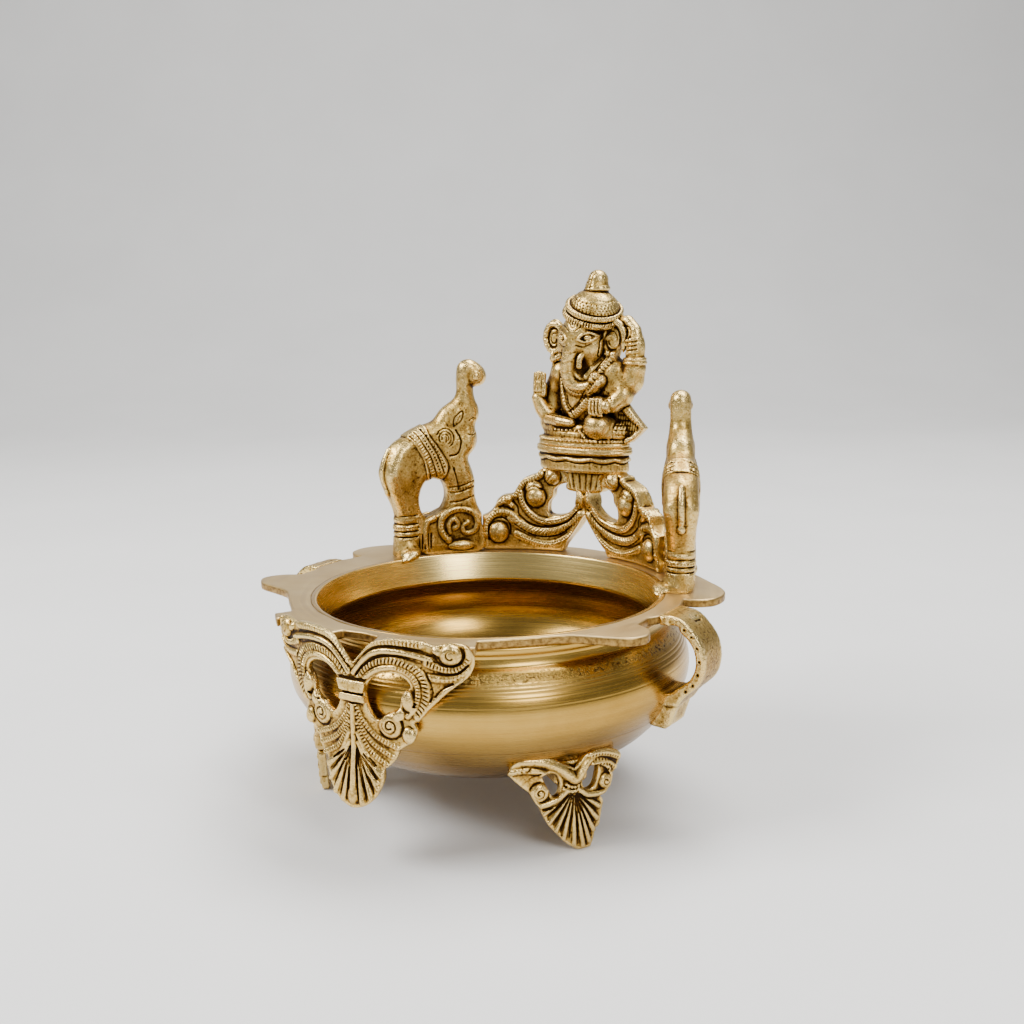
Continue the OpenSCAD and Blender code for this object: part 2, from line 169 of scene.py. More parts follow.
def rounded(flat, thick, edge):
    """Distance to the space where flat and thick are both negative, with its edges rounded."""
    qa, qb = flat + edge, thick + edge
    return (np.minimum(np.maximum(qa, qb), 0)
            + np.sqrt(np.maximum(qa, 0)**2 + np.maximum(qb, 0)**2) - edge)


def ball(centre, radius):
    cx, cy, cz = centre
    def distance(x, y, z):
        return np.sqrt((x - cx)**2 + (y - cy)**2 + (z - cz)**2) - radius
    reach = np.array([radius] * 3)
    return distance, np.array(centre) - reach, np.array(centre) + reach


def egg(centre, radii, tilt=0.0, lean=0.0):
    """An ellipsoid, tilted by degrees in the x-z plane and then leant in the y-z plane."""
    c = np.array(centre, float)
    rx, ry, rz = radii
    ct, st = math.cos(math.radians(tilt)), math.sin(math.radians(tilt))
    cl, sl = math.cos(math.radians(lean)), math.sin(math.radians(lean))
    def distance(x, y, z):
        px, py, pz = x - c[0], y - c[1], z - c[2]
        py, pz = cl * py + sl * pz, -sl * py + cl * pz
        px, pz = ct * px + st * pz, -st * px + ct * pz
        k0 = np.sqrt((px / rx)**2 + (py / ry)**2 + (pz / rz)**2)
        k1 = np.sqrt((px / rx**2)**2 + (py / ry**2)**2 + (pz / rz**2)**2)
        return k0 * (k0 - 1) / np.maximum(k1, 1e-6)
    reach = np.full(3, max(radii))
    return distance, c - reach, c + reach


def limb_distance(p, q, rp, rq, x, y, z):
    """Distance to a round bar from p to q whose radius runs from rp to rq."""
    d = q - p
    length2 = max(float(d @ d), 1e-9)
    t = ((x - p[0]) * d[0] + (y - p[1]) * d[1] + (z - p[2]) * d[2]) / length2
    t = np.clip(t, 0, 1)
    gap = np.sqrt((x - p[0] - t * d[0])**2 + (y - p[1] - t * d[1])**2 + (z - p[2] - t * d[2])**2)
    return gap - (rp + (rq - rp) * t)


def tube(points, radius, squash=1.0):
    """A round bar along points. radius is one number or one for each point. squash below 1
    flattens the bar in y."""
    pts = np.asarray(points, float)
    radii = np.broadcast_to(np.asarray(radius, float), (len(pts),)).copy()
    centre_y = pts[:, 1].copy()
    def distance(x, y, z):
        out = np.full(np.broadcast_shapes(x.shape, y.shape, z.shape), 4.0, np.float32)
        xs, ys, zs = x.ravel(), y.ravel(), z.ravel()
        for i in range(len(pts) - 1):
            reach = max(radii[i], radii[i + 1]) + REACH + 0.6
            spans = []
            for axis, k in ((xs, 0), (ys, 1), (zs, 2)):
                lo, hi = min(pts[i, k], pts[i + 1, k]), max(pts[i, k], pts[i + 1, k])
                first, last = np.searchsorted(axis, (lo - reach, hi + reach))
                spans.append(slice(int(first), int(last)))
            sx, sy, sz = spans
            if sx.start >= sx.stop or sy.start >= sy.stop or sz.start >= sz.stop:
                continue
            yy = ys[sy][None, :, None]
            if squash != 1.0:
                mid = (centre_y[i] + centre_y[i + 1]) / 2
                yy = mid + (yy - mid) / squash
            d = limb_distance(pts[i], pts[i + 1], radii[i], radii[i + 1],
                              xs[sx][:, None, None], yy, zs[sz][None, None, :])
            part = out[sx, sy, sz]
            np.minimum(part, d, out=part)
        return out
    reach = float(radii.max())
    return distance, pts.min(0) - reach, pts.max(0) + reach


def outline_distance(outline, x, z):
    """Signed distance in the x-z plane to a closed outline, negative inside."""
    x, z = np.broadcast_arrays(x.ravel()[:, None], z.ravel()[None, :])
    best = np.full(x.shape, 1e9, np.float32)
    inside = np.zeros(x.shape, bool)
    ring = np.asarray(outline, float)
    for (ax, az), (bx, bz) in zip(ring, np.roll(ring, -1, axis=0)):
        dx, dz = bx - ax, bz - az
        if dx * dx + dz * dz < 1e-12:
            continue
        t = np.clip(((x - ax) * dx + (z - az) * dz) / (dx * dx + dz * dz), 0, 1)
        best = np.minimum(best, (x - ax - t * dx)**2 + (z - az - t * dz)**2)
        if abs(dz) > 1e-9:
            crosses = (az > z) != (bz > z)
            inside ^= crosses & (x < dx * (z - az) / dz + ax)
    return np.where(inside, -1, 1) * np.sqrt(best)


def plate(outline, y_low, y_high, edge=0.6):
    """A flat piece with a closed outline, from y_low to y_high, with edges rounded by edge."""
    ring = np.asarray(outline, float)
    def distance(x, y, z):
        flat = outline_distance(ring, x, z)[:, None, :]
        thick = np.abs(y - (y_low + y_high) / 2) - (y_high - y_low) / 2
        return rounded(flat, thick, edge)
    low = np.array([ring[:, 0].min(), y_low, ring[:, 1].min()])
    high = np.array([ring[:, 0].max(), y_high, ring[:, 1].max()])
    return distance, low, high


def at_depth(curve, y):
    """A curve in the x-z plane, as points at depth y (one number or one for each point)."""
    curve = np.asarray(curve, float)
    depth = np.broadcast_to(np.asarray(y, float), (len(curve),))
    return np.stack([curve[:, 0], depth, curve[:, 1]], 1)


# ---- meshes ------------------------------------------------------------------------------

def softened(field, sigma):
    """A copy of a grid, blurred over sigma cells."""
    reach = int(math.ceil(2.5 * sigma))
    taps = np.exp(-0.5 * (np.arange(-reach, reach + 1) / sigma)**2).astype(np.float32)
    taps /= taps.sum()
    for axis in range(3):
        padded = np.pad(field, [(reach, reach) if k == axis else (0, 0) for k in range(3)],
                        mode="edge")
        total = np.zeros_like(field)
        for i, tap in enumerate(taps):
            span = [slice(None)] * 3
            span[axis] = slice(i, i + field.shape[axis])
            total += tap * padded[tuple(span)]
        field = total
    return field


def sample(field, places):
    """Values of a grid at places given in cells."""
    size = np.array(field.shape) - 2
    base = np.clip(np.floor(places).astype(int), 0, size)
    part = np.clip(places - base, 0, 1)
    total = np.zeros(len(places))
    for corner in range(8):
        step = np.array([corner >> 2 & 1, corner >> 1 & 1, corner & 1])
        weight = np.prod(np.where(step, part, 1 - part), axis=1)
        ix, iy, iz = (base + step).T
        total += weight * field[ix, iy, iz]
    return total


def new_mesh(name, points, faces, marks=None):
    """A smooth-shaded mesh object from points in millimetres; marks holds point attributes."""
    mesh = bpy.data.meshes.new(name)
    sizes = np.array([len(f) for f in faces[0]] if isinstance(faces, tuple) else
                     [faces.shape[1]] * len(faces))
    loops = np.concatenate([np.ravel(f) for f in faces]) if isinstance(faces, tuple) else faces.ravel()
    mesh.vertices.add(len(points))
    mesh.vertices.foreach_set("co", (np.asarray(points) * MM).astype(np.float32).ravel())
    mesh.loops.add(len(loops))
    mesh.loops.foreach_set("vertex_index", loops.astype(np.int32))
    mesh.polygons.add(len(sizes))
    mesh.polygons.foreach_set("loop_start", np.concatenate([[0], np.cumsum(sizes)[:-1]]).astype(np.int32))
    mesh.polygons.foreach_set("loop_total", sizes.astype(np.int32))
    mesh.update(calc_edges=True)
    return shown(mesh, marks or {})


def shown(mesh, marks):
    """A smooth-shaded object with the mesh, and with the marks as its point attributes."""
    mesh.validate()
    mesh.polygons.foreach_set("use_smooth", np.ones(len(mesh.polygons), bool))
    for key, values in marks.items():
        mark = mesh.attributes.new(key, "FLOAT", "POINT")
        mark.data.foreach_set("value", np.asarray(values, np.float32))
    obj = bpy.data.objects.new(mesh.name, mesh)
    bpy.context.scene.collection.objects.link(obj)
    return obj


def fired(name, clay, place, rough=0.05, shade=0.0):
    """The clay's surface as an object. place maps local points to the row frame. rough is
    the height of the sand-cast unevenness. The mark "wear_and_shade" is high on edges and
    bosses and low in lines and hollows; shade raises or lowers it all over, as painted
    shade for the whole part when below 0 and painted light when above 0."""
    cell = clay.cell
    grid = vdb.FloatGrid(4.0)
    grid.copyFromArray(clay.field)
    points, quads = grid.convertToQuads(isovalue=0.0)
    points = np.asarray(points, float)
    quads = np.asarray(quads, np.int64)
    near = np.clip(clay.field, -2.0, 2.0)
    fine = sample(softened(near, 0.5 / cell) - near, points)
    broad = sample(softened(near, 1.3 / cell) - near, points)
    # Painted shade and light: shade moves the tone of the whole part, below 0 for painted shade and above 0 for
    # painted light.
    wear_and_shade = np.clip(0.5 + shade + 2.6 * fine + 0.9 * broad, 0, 1)
    local = points * cell + np.array([a[0] for a in clay.axes])
    normal = point_normals(local, quads)
    bumps = np.array([noise.noise(Vector(p * 0.45)) + 0.6 * noise.noise(Vector(p * 1.1))
                      for p in local])
    local = local + normal * (bumps * rough)[:, None]
    world = place(local)
    if signed_volume(world, quads) < 0:
        quads = quads[:, ::-1]
    return new_mesh(name, world, quads, {"wear_and_shade": wear_and_shade})


def point_normals(points, quads):
    a, b, c, d = (points[quads[:, k]] for k in range(4))
    face = np.cross(c - a, d - b)
    total = np.zeros_like(points)
    for k in range(4):
        np.add.at(total, quads[:, k], face)
    length = np.linalg.norm(total, axis=1, keepdims=True)
    normal = total / np.maximum(length, 1e-9)
    return normal if signed_volume(points, quads) > 0 else -normal


def signed_volume(points, quads):
    a, b, c, d = (points[quads[:, k]] for k in range(4))
    return float(np.sum(np.einsum("ij,ij->i", a, np.cross(b, c) + np.cross(c, d))))


def on_ring(centre_x, radius, turn):
    """A map from local points to a ring round (centre_x, 0): x along the ring, y outward from
    radius, z up from the rim. turn is the direction of x = 0, in degrees from the front
    towards the right."""
    def place(p):
        angle = math.radians(turn) + p[:, 0] / radius * (1 if abs(turn) < 90 else -1)
        r = radius + p[:, 1]
        return np.stack([centre_x + r * np.sin(angle), -r * np.cos(angle), RIM_Z + p[:, 2]], 1)
    return place


# ---- materials ---------------------------------------------------------------------------

class Nodes:
    """A material's node tree, with short calls to add and join nodes."""

    def __init__(self, name):
        self.material = bpy.data.materials.new(name)
        self.material.use_nodes = True
        self.tree = self.material.node_tree
        self.shader = self.tree.nodes["Principled BSDF"]

    def node(self, kind, inputs=(), **settings):
        made = self.tree.nodes.new(kind)
        for key, value in settings.items():
            setattr(made, key, value)
        for key, value in dict(inputs).items():
            if isinstance(value, bpy.types.NodeSocket):
                self.tree.links.new(value, made.inputs[key])
            else:
                made.inputs[key].default_value = value
        return made

    def math(self, operation, a, b=0.0):
        return self.node("ShaderNodeMath", {0: a, 1: b, 2: 0.0}, operation=operation).outputs[0]

    def plus(self, a, b):
        return self.math("ADD", a, b)

    def minus(self, a, b):
        return self.math("SUBTRACT", a, b)

    def times(self, a, b):
        return self.math("MULTIPLY", a, b)

    def mark(self, name):
        """A point attribute of the mesh."""
        return self.node("ShaderNodeAttribute", attribute_name=name).outputs["Fac"]

    def noise(self, vector, scale, detail=3.0, rough=0.55):
        made = self.node("ShaderNodeTexNoise", {"Vector": vector, "Scale": scale,
                                                "Detail": detail, "Roughness": rough})
        return made.outputs["Fac"]

    def ramp(self, factor, stops):
        made = self.node("ShaderNodeValToRGB", {"Fac": factor})
        ends = made.color_ramp.elements
        while len(ends) < len(stops):
            ends.new(0.5)
        for end, (place, colour) in zip(ends, stops):
            end.position = place
            end.color = (*colour, 1)
        return made.outputs["Color"]

    def span(self, value, low, high, to_low, to_high):
        made = self.node("ShaderNodeMapRange", {"Value": value, "From Min": low, "From Max": high,
                                                "To Min": to_low, "To Max": to_high})
        return made.outputs["Result"]

    def mix(self, factor, a, b, blend="MIX"):
        made = self.node("ShaderNodeMix", data_type="RGBA", blend_type=blend)
        for socket, value in (("Factor_Float", factor), ("A_Color", a), ("B_Color", b)):
            target = next(s for s in made.inputs if s.identifier == socket)
            if isinstance(value, bpy.types.NodeSocket):
                self.tree.links.new(value, target)
            else:
                target.default_value = value if socket == "Factor_Float" else (*value, 1)
        return next(s for s in made.outputs if s.identifier == "Result_Color")

    def bump(self, height, distance, strength):
        inputs = {"Height": height, "Distance": distance, "Strength": strength}
        return self.node("ShaderNodeBump", inputs).outputs["Normal"]

    def place(self):
        return self.node("ShaderNodeTexCoord").outputs["Object"]

    def finish(self, colour, roughness, normal):
        self.shader.inputs["Metallic"].default_value = 1.0
        self.tree.links.new(colour, self.shader.inputs["Base Color"])
        self.tree.links.new(roughness, self.shader.inputs["Roughness"])
        self.tree.links.new(normal, self.shader.inputs["Normal"])
        return self.material


def cast_brass(name):
    """Sand-cast brass: dark brown in lines and hollows, gold on the flats, bright on edges,
    with painted shade on some parts and painted light on others, from their shade.
    """
    n = Nodes(name)
    place = n.place()
    # The mark holds wear and patina, plus painted shade on the panel, feet and handles and painted light on the
    # scrolls.
    wear_and_shade = n.mark("wear_and_shade")
    grit = n.noise(place, 1150, 3, 0.7)
    cloud = n.noise(place, 75, 3)
    dark = n.span(n.noise(place, 620, 4, 0.75), 0.53, 0.66, 0.0, 0.34)
    shade = n.plus(wear_and_shade, n.times(n.minus(grit, 0.5), 0.85))
    shade = n.plus(shade, n.times(n.minus(cloud, 0.5), 0.5))
    shade = n.minus(shade, dark)
    colour = n.ramp(shade, [(0.06, (0.020, 0.009, 0.002)), (0.22, (0.115, 0.054, 0.010)),
                            (0.38, (0.34, 0.20, 0.042)), (0.56, (0.56, 0.375, 0.100)),
                            (0.85, (0.80, 0.59, 0.225))])
    tint = n.noise(place, 28, 2)
    colour = n.mix(n.span(tint, 0.35, 0.7, 0.0, 0.5), colour, (0.92, 0.76, 0.55), "MULTIPLY")
    roughness = n.span(shade, 0.2, 0.8, 0.50, 0.25)
    fine = n.noise(place, 2400, 3)
    pebbles = n.noise(place, 1000, 2)
    pits = n.span(n.noise(place, 1500, 2), 0.30, 0.42, 0.0, 1.0)
    height = n.plus(n.times(fine, 0.35), n.times(pits, 0.6))
    height = n.plus(height, pebbles)
    return n.finish(colour, roughness, n.bump(height, 0.00016, 0.9))


def lathe_coordinates(n):
    """A point that streaks run round the bowl's axis in, the plain place, radius and height."""
    place = n.place()
    shifted = n.node("ShaderNodeVectorMath", {0: place, 1: (-BOWL_X * MM, 0, 0)},
                     operation="ADD").outputs[0]
    split = n.node("ShaderNodeSeparateXYZ", {0: shifted})
    x, y, z = split.outputs
    radius = n.math("SQRT", n.plus(n.times(x, x), n.times(y, y)))
    angle = n.math("ARCTAN2", y, x)
    return n.node("ShaderNodeCombineXYZ", {0: radius, 1: z, 2: n.times(angle, 0.0012)}
                  ).outputs[0], place, radius, z


def turned_brass(name):
    """Lathe-turned brass: a satin yellow gold with fine lines round the axis, a painted
    reflection on the inside of the lip and painted shade on the lower belly.
    """
    n = Nodes(name)
    ring, place, radius, z = lathe_coordinates(n)
    lines = n.noise(ring, 1500, 3, 0.7)
    bands = n.noise(ring, 240, 3, 0.6)
    cloud = n.noise(place, 32, 4)
    pitted = n.mark("pitted")
    spots = n.span(n.noise(place, 700, 4, 0.7), 0.50, 0.60, 0.0, 1.0)
    spots = n.times(spots, pitted)
    colour = n.ramp(n.plus(n.times(bands, 0.5), n.times(cloud, 0.5)),
                    [(0.30, (0.36, 0.200, 0.034)), (0.50, (0.50, 0.300, 0.060)),
                     (0.72, (0.64, 0.425, 0.110))])
    below = n.minus(RIM_Z * MM, z)
    # Painted reflection: the inside of the lip, down to about 12 mm below the rim, is mixed towards a bright
    # gold.
    lip_painted_reflection = n.times(n.span(below, 0.0105, 0.0135, 0.85, 0.0),
                      n.span(radius, 0.0700, 0.0706, 1.0, 0.0))
    colour = n.mix(lip_painted_reflection, colour, (0.84, 0.62, 0.22))
    # Painted shade and painted reflection: the belly is darkened to brown towards the bottom.
    colour = n.mix(n.span(below, 0.028, 0.052, 0.0, 0.75), colour, (0.15, 0.078, 0.022))
    colour = n.mix(spots, colour, (0.07, 0.035, 0.010))
    groove = n.mark("groove")
    colour = n.mix(n.times(groove, 0.55), colour, (0.14, 0.070, 0.018))
    roughness = n.plus(n.span(lines, 0.3, 0.7, 0.20, 0.32),
                       n.times(n.plus(spots, groove), 0.2))
    height = n.plus(n.times(lines, 0.6), n.times(bands, 0.6))
    height = n.minus(height, n.times(spots, 2.0))
    return n.finish(colour, roughness, n.bump(height, 0.00006, 0.55))


def rim_brass(name):
    """Filed brass: matt and pale on top, with fine scratches that follow the ring."""
    n = Nodes(name)
    ring, place, _, _ = lathe_coordinates(n)
    lines = n.noise(ring, 1100, 3, 0.7)
    cloud = n.noise(place, 45, 4)
    wear_and_shade = n.mark("wear_and_shade")
    top = n.mark("top")
    side = n.ramp(n.plus(n.noise(place, 600, 4, 0.7), n.times(wear_and_shade, 0.35)),
                  [(0.45, (0.12, 0.060, 0.016)), (0.66, (0.36, 0.215, 0.060)), (0.95, (0.60, 0.40, 0.14))])
    flat = n.ramp(n.plus(n.times(lines, 0.35), n.times(cloud, 0.65)),
                  [(0.30, (0.46, 0.31, 0.125)), (0.50, (0.58, 0.415, 0.19)), (0.70, (0.68, 0.52, 0.27))])
    colour = n.mix(top, side, flat)
    groove = n.mark("groove")
    colour = n.mix(n.times(groove, 0.6), colour, (0.22, 0.13, 0.05))
    roughness = n.span(lines, 0.3, 0.7, 0.36, 0.50)
    height = n.plus(lines, n.times(cloud, 0.8))
    return n.finish(colour, roughness, n.bump(height, 0.00005, 0.5))


# ---- bowl --------------------------------------------------------------------------------

def bowl_profile():
    """The bowl's section from the lip, down the outside and up the inside, as
    (radius, height from the rim's top)."""
    r = MOUTH_R
    belly = spline([(r + 1.5, -8), (r + 2.4, -10.6), (r + 5, -12.6), (r + 8, -16.4),
                    (r + 10.2, -20.5), (r + 11.4, -25), (r + 11.5, -29.5), (r + 10.4, -34.5),
                    (r + 8, -39), (r + 6, -42, None), (r + 2.5, -46.5), (r - 0.5, -50),
                    (r - 6, -55), (r - 14, -59), (r - 19, -60.7, None)], steps=10)
    hollow = spline([(r - 3.1, -11.3, None), (r - 2.4, -13), (r + 3, -16), (r + 6.8, -20),
                     (r + 8.2, -25), (r + 8.3, -30), (r + 6.8, -35.5), (r + 3.4, -41),
                     (r - 2, -46.8), (r - 9, -51.5), (r - 21, -55.3), (r - 42, -57),
                     (0.4, -57.4, None)], steps=8)
    lip = [(r - 2.9, -10.7), (r - 0.35, -0.7), (r - 0.15, -0.25), (r + 0.3, 0), (r + LIP_W - 0.2, 0),
           (r + LIP_W - 0.05, -0.15), (r + LIP_W - 0.05, -PLATE_T), (r + LIP_W + 1.2, -PLATE_T - 0.05),
           (r + LIP_W + 1.2, -PLATE_T - 1.4), (r + 2.2, -6.5)]
    base = [(r - 20, -60.75), (r - 22, -60.7), (r - 23, -59.9), (r - 30, -59.7), (0.4, -59.7)]
    return np.array(lip), belly, np.array(base), hollow[::-1]


TURNED_LINES = {-15.9: 0.5, -17.3: 1.0, -18.6: 0.8, -20.4: 0.45, -23.6: 0.3, -42.3: 0.6}


def lathe_bowl():
    """The bowl, turned from its profile, whose first and last points join."""
    lip, belly, base, hollow = bowl_profile()
    fine = []
    for (ra, za), (rb, zb) in zip(belly[:-1], belly[1:]):
        count = 4 if za > -27 else 2
        fine += [(ra + (rb - ra) * i / count, za + (zb - za) * i / count) for i in range(count)]
    belly = np.array(fine + [tuple(belly[-1])])
    groove = np.zeros(len(belly))
    for z, depth in TURNED_LINES.items():
        groove = np.maximum(groove, depth * np.exp(-((belly[:, 1] - z) / 0.3)**2))
    belly[:, 0] -= 0.14 * groove
    pitted = np.exp(-((belly[:, 1] + 14.2) / 1.9)**2)
    profile = np.concatenate([lip, belly, base, hollow])
    rest = np.zeros(len(base) + len(hollow))
    marks = {key: np.concatenate([np.zeros(len(lip)), values, rest])
             for key, values in (("groove", groove), ("pitted", pitted))}
    sides = 320
    turn = np.arange(sides) * 2 * math.pi / sides
    count = len(profile)
    r = profile[:, 0][:, None]
    points = np.stack([BOWL_X + r * np.sin(turn), -r * np.cos(turn),
                       np.broadcast_to(RIM_Z + profile[:, 1][:, None], (count, sides))], 2)
    i, j = np.meshgrid(np.arange(count), np.arange(sides), indexing="ij")
    k, m = (i + 1) % count, (j + 1) % sides
    quads = np.stack([i * sides + j, k * sides + j, k * sides + m, i * sides + m], 2)
    base_end = len(lip) + len(belly) + len(base) - 1
    keep = np.ones(count, bool)
    keep[base_end] = False
    quads = quads[keep].reshape(-1, 4)
    flat = points.reshape(-1, 3)
    caps = []
    extra = []
    for row, height, flip in ((base_end, -59.7, True), (base_end + 1, -57.4, False)):
        centre = len(flat) + len(extra)
        extra.append([BOWL_X, 0, RIM_Z + height])
        ring = row * sides + np.arange(sides)
        after = row * sides + (np.arange(sides) + 1) % sides
        trio = [np.full(sides, centre), after, ring] if flip else [np.full(sides, centre), ring, after]
        caps.append(np.stack(trio, 1))
    flat = np.concatenate([flat, np.array(extra)])
    values = {key: np.concatenate([np.repeat(v, sides), [0, 0]]) for key, v in marks.items()}
    return new_mesh("bowl_turned", flat, (quads, np.concatenate(caps)), values)


# ---- stage -------------------------------------------------------------------------------

def aim_camera():
    """A 45.7 mm lens, half a metre from the mouth, from the front right and a little above."""
    azimuth, elevation = math.radians(34.0), math.radians(14.093)
    yaw, pitch, roll = (math.radians(a) for a in (1.107, 3.371, 1.322))
    out = Vector((math.sin(azimuth) * math.cos(elevation),
                  -math.cos(azimuth) * math.cos(elevation), math.sin(elevation)))
    right = Vector((math.cos(azimuth), math.sin(azimuth), 0))
    ahead = -out
    up = right.cross(ahead)
    right, ahead = (right * math.cos(yaw) - ahead * math.sin(yaw),
                    right * math.sin(yaw) + ahead * math.cos(yaw))
    up, ahead = (up * math.cos(pitch) - ahead * math.sin(pitch),
                 up * math.sin(pitch) + ahead * math.cos(pitch))
    right, up = (right * math.cos(roll) - up * math.sin(roll),
                 right * math.sin(roll) + up * math.cos(roll))
    lens = bpy.data.cameras.new("camera")
    lens.sensor_width = 36.0
    lens.lens = 45.7
    lens.clip_end = 20
    camera = bpy.data.objects.new("camera", lens)
    bpy.context.scene.collection.objects.link(camera)
    mouth = Vector((BOWL_X, 0, RIM_Z)) * MM
    camera.matrix_world = (Matrix((right, up, -ahead)).transposed()).to_4x4()
    camera.location = mouth + out * 0.5334
    bpy.context.scene.camera = camera


def softbox(name, place, size, power):
    """An area lamp that looks at the middle of the object."""
    target = (0, 0, 0.09)
    light = bpy.data.lights.new(name, "AREA")
    light.shape = "RECTANGLE"
    light.size, light.size_y = size
    light.energy = power
    obj = bpy.data.objects.new(name, light)
    obj.location = place
    obj.rotation_euler = (Vector(target) - Vector(place)).to_track_quat("-Z", "Y").to_euler()
    bpy.context.scene.collection.objects.link(obj)


def build_stage():
    """A pale floor that curves up into a plain backdrop far behind the bowl."""
    rows = [(-3.0, 0.0), (1.2, 0.0)]
    rows += [(1.2 + 0.8 * math.sin(a), 0.8 - 0.8 * math.cos(a))
             for a in np.linspace(0, math.pi / 2, 13)[1:]]
    rows += [(2.0, 3.0)]
    turn = math.radians(34)
    points = []
    for along, height in rows:
        for across in (-4.0, 4.0):
            x = across * math.cos(turn) - along * math.sin(turn)
            y = across * math.sin(turn) + along * math.cos(turn)
            points.append((x / MM, y / MM, height / MM))
    quads = np.array([[2 * i, 2 * i + 1, 2 * i + 3, 2 * i + 2] for i in range(len(rows) - 1)])
    floor = new_mesh("floor", np.array(points), quads)
    n = Nodes("pale_paper")
    place = n.place()
    shade = n.ramp(n.noise(place, 6, 3), [(0.3, (0.80, 0.79, 0.77)), (0.7, (0.84, 0.83, 0.81))])
    n.tree.links.new(shade, n.shader.inputs["Base Color"])
    n.shader.inputs["Roughness"].default_value = 0.75
    n.tree.links.new(n.bump(n.noise(place, 900, 2), 0.0001, 0.2), n.shader.inputs["Normal"])
    floor.data.materials.append(n.material)

    world = bpy.data.worlds.new("studio")
    world.use_nodes = True
    world.node_tree.nodes["Background"].inputs["Color"].default_value = (0.78, 0.79, 0.81, 1)
    world.node_tree.nodes["Background"].inputs["Strength"].default_value = 0.36
    bpy.context.scene.world = world
    softbox("key", (-0.75, -0.75, 1.15), (0.8, 0.6), 28)
    softbox("fill", (1.15, -0.75, 1.0), (0.5, 0.8), 14)
    softbox("top", (0.15, 0.5, 1.5), (1.3, 0.7), 34)


# ---- working the clay --------------------------------------------------------------------

def band(clay, curve, y, half_width, height, face=1):
    """A raised strip with a rounded top. face is 1 where outward is +y, and -1 where -y is."""
    radius = (half_width**2 + height**2) / (2 * height)
    ridge(clay, curve, y + face * (height - radius), radius)


def ridge(clay, curve, y, radius):
    clay.add(tube(at_depth(curve, y), radius), 0.3)


def line(clay, curve, y, radius=0.42):
    """An engraved line."""
    clay.cut(tube(at_depth(curve, y), radius), 0.15)


def taper(clay, start, end, y, middle, ends=0.2):
    """A cut that swells from its ends to its middle."""
    t = np.linspace(0, 1, 7)
    points = np.array(start)[None, :] * (1 - t)[:, None] + np.array(end)[None, :] * t[:, None]
    radii = ends + (middle - ends) * np.sin(np.pi * t)**0.7
    clay.cut(tube(at_depth(points, y), radii), 0.15)


def hatch(clay, curve, y, gap, half, radius=0.32, slant=0.0):
    """Short cuts across a strip that follows a curve."""
    places, ways = evenly(curve, gap)
    for p, w in zip(places, ways):
        across = np.array([-w[1], w[0]]) + slant * w
        line(clay, np.array([p - across * half, p + across * half]), y, radius)


def beads(clay, curve, y, gap, radius):
    for p in evenly(curve, gap)[0]:
        clay.add(ball((p[0], y, p[1]), radius), 0.1)


def dimples(clay, curve, y, gap, radius):
    for p in evenly(curve, gap)[0]:
        clay.cut(ball((p[0], y, p[1]), radius), 0.1)


def dome(clay, centre, y, radii, height, tilt=0.0):
    """A low boss standing height above depth y."""
    clay.add(egg((centre[0], y, centre[1]), (radii[0], height, radii[1]), tilt), 0.4)


def puffed(outline, half, edge, holes=()):
    """A pillow with a true outline. half is a list of (height, half thickness)."""
    ring = np.asarray(outline, float)
    heights, halves = zip(*half)
    def distance(x, y, z):
        flat = outline_distance(ring, x, z)
        for hole in holes:
            flat = np.maximum(flat, -outline_distance(hole, x, z))
        flat = flat[:, None, :]
        thick = np.abs(y) - np.interp(z, heights, halves)
        return rounded(flat, thick, edge)
    deep = max(halves)
    low = np.array([ring[:, 0].min(), -deep, ring[:, 1].min()])
    high = np.array([ring[:, 0].max(), deep, ring[:, 1].max()])
    return distance, low, high


def draped(clay, curve, sink=0.0, face=-1):
    """A curve of (x, z) laid on the clay's surface as seen from one face, as 3-D points.
    sink moves it into the clay. Points that miss the clay are left out."""
    out = []
    x0, y0, z0 = (a[0] for a in clay.axes)
    for x, z in np.asarray(curve, float):
        i, k = int(round((x - x0) / clay.cell)), int(round((z - z0) / clay.cell))
        if not (0 <= i < clay.field.shape[0] and 0 <= k < clay.field.shape[2]):
            continue
        column = clay.field[i, :, k] if face < 0 else clay.field[i, ::-1, k]
        inside = np.nonzero(column < 0)[0]
        if len(inside) == 0:
            continue
        j = inside[0]
        part = column[j - 1] / (column[j - 1] - column[j]) if j > 0 else 0.0
        steps = (j - 1 + part) * clay.cell
        y = y0 + steps if face < 0 else clay.axes[1][-1] - steps
        out.append((x, y - face * sink, z))
    return np.array(out)


def groove(clay, curve, radius=0.42, out=0.1, face=-1):
    """An engraved line that follows the surface."""
    points = draped(clay, spline(curve) if len(curve) > 2 else evenly(curve, 0.8)[0], -out, face)
    if len(points) > 1:
        clay.cut(tube(points, radius), 0.15)


def rungs(clay, curve, gap, half, radius=0.34, out=0.1, face=-1, slant=0.0):
    """Short cuts across a curve that follow the surface."""
    places, ways = evenly(spline(curve), gap)
    for p, w in zip(places, ways):
        across = np.array([-w[1], w[0]]) + slant * w
        groove(clay, [p - across * half, p + across * half], radius, out, face)


def studs(clay, curve, gap, radius, face=-1, sink=0.15):
    """Small balls in a row on the surface."""
    for p in draped(clay, evenly(spline(curve), gap)[0], sink, face):
        clay.add(ball(p, radius), 0.1)


def pits(clay, curve, gap, radius, face=-1, out=0.1):
    """Small hollows in a row on the surface."""
    for p in draped(clay, evenly(spline(curve), gap)[0], -out, face):
        clay.cut(ball(p, radius), 0.1)


def belly_radius(z):
    """Outside radius of the bowl at a height measured from the rim's top."""
    outside = bowl_profile()[1]
    return np.interp(-z, -outside[:, 1], outside[:, 0])


# ---- front panel -------------------------------------------------------------------------

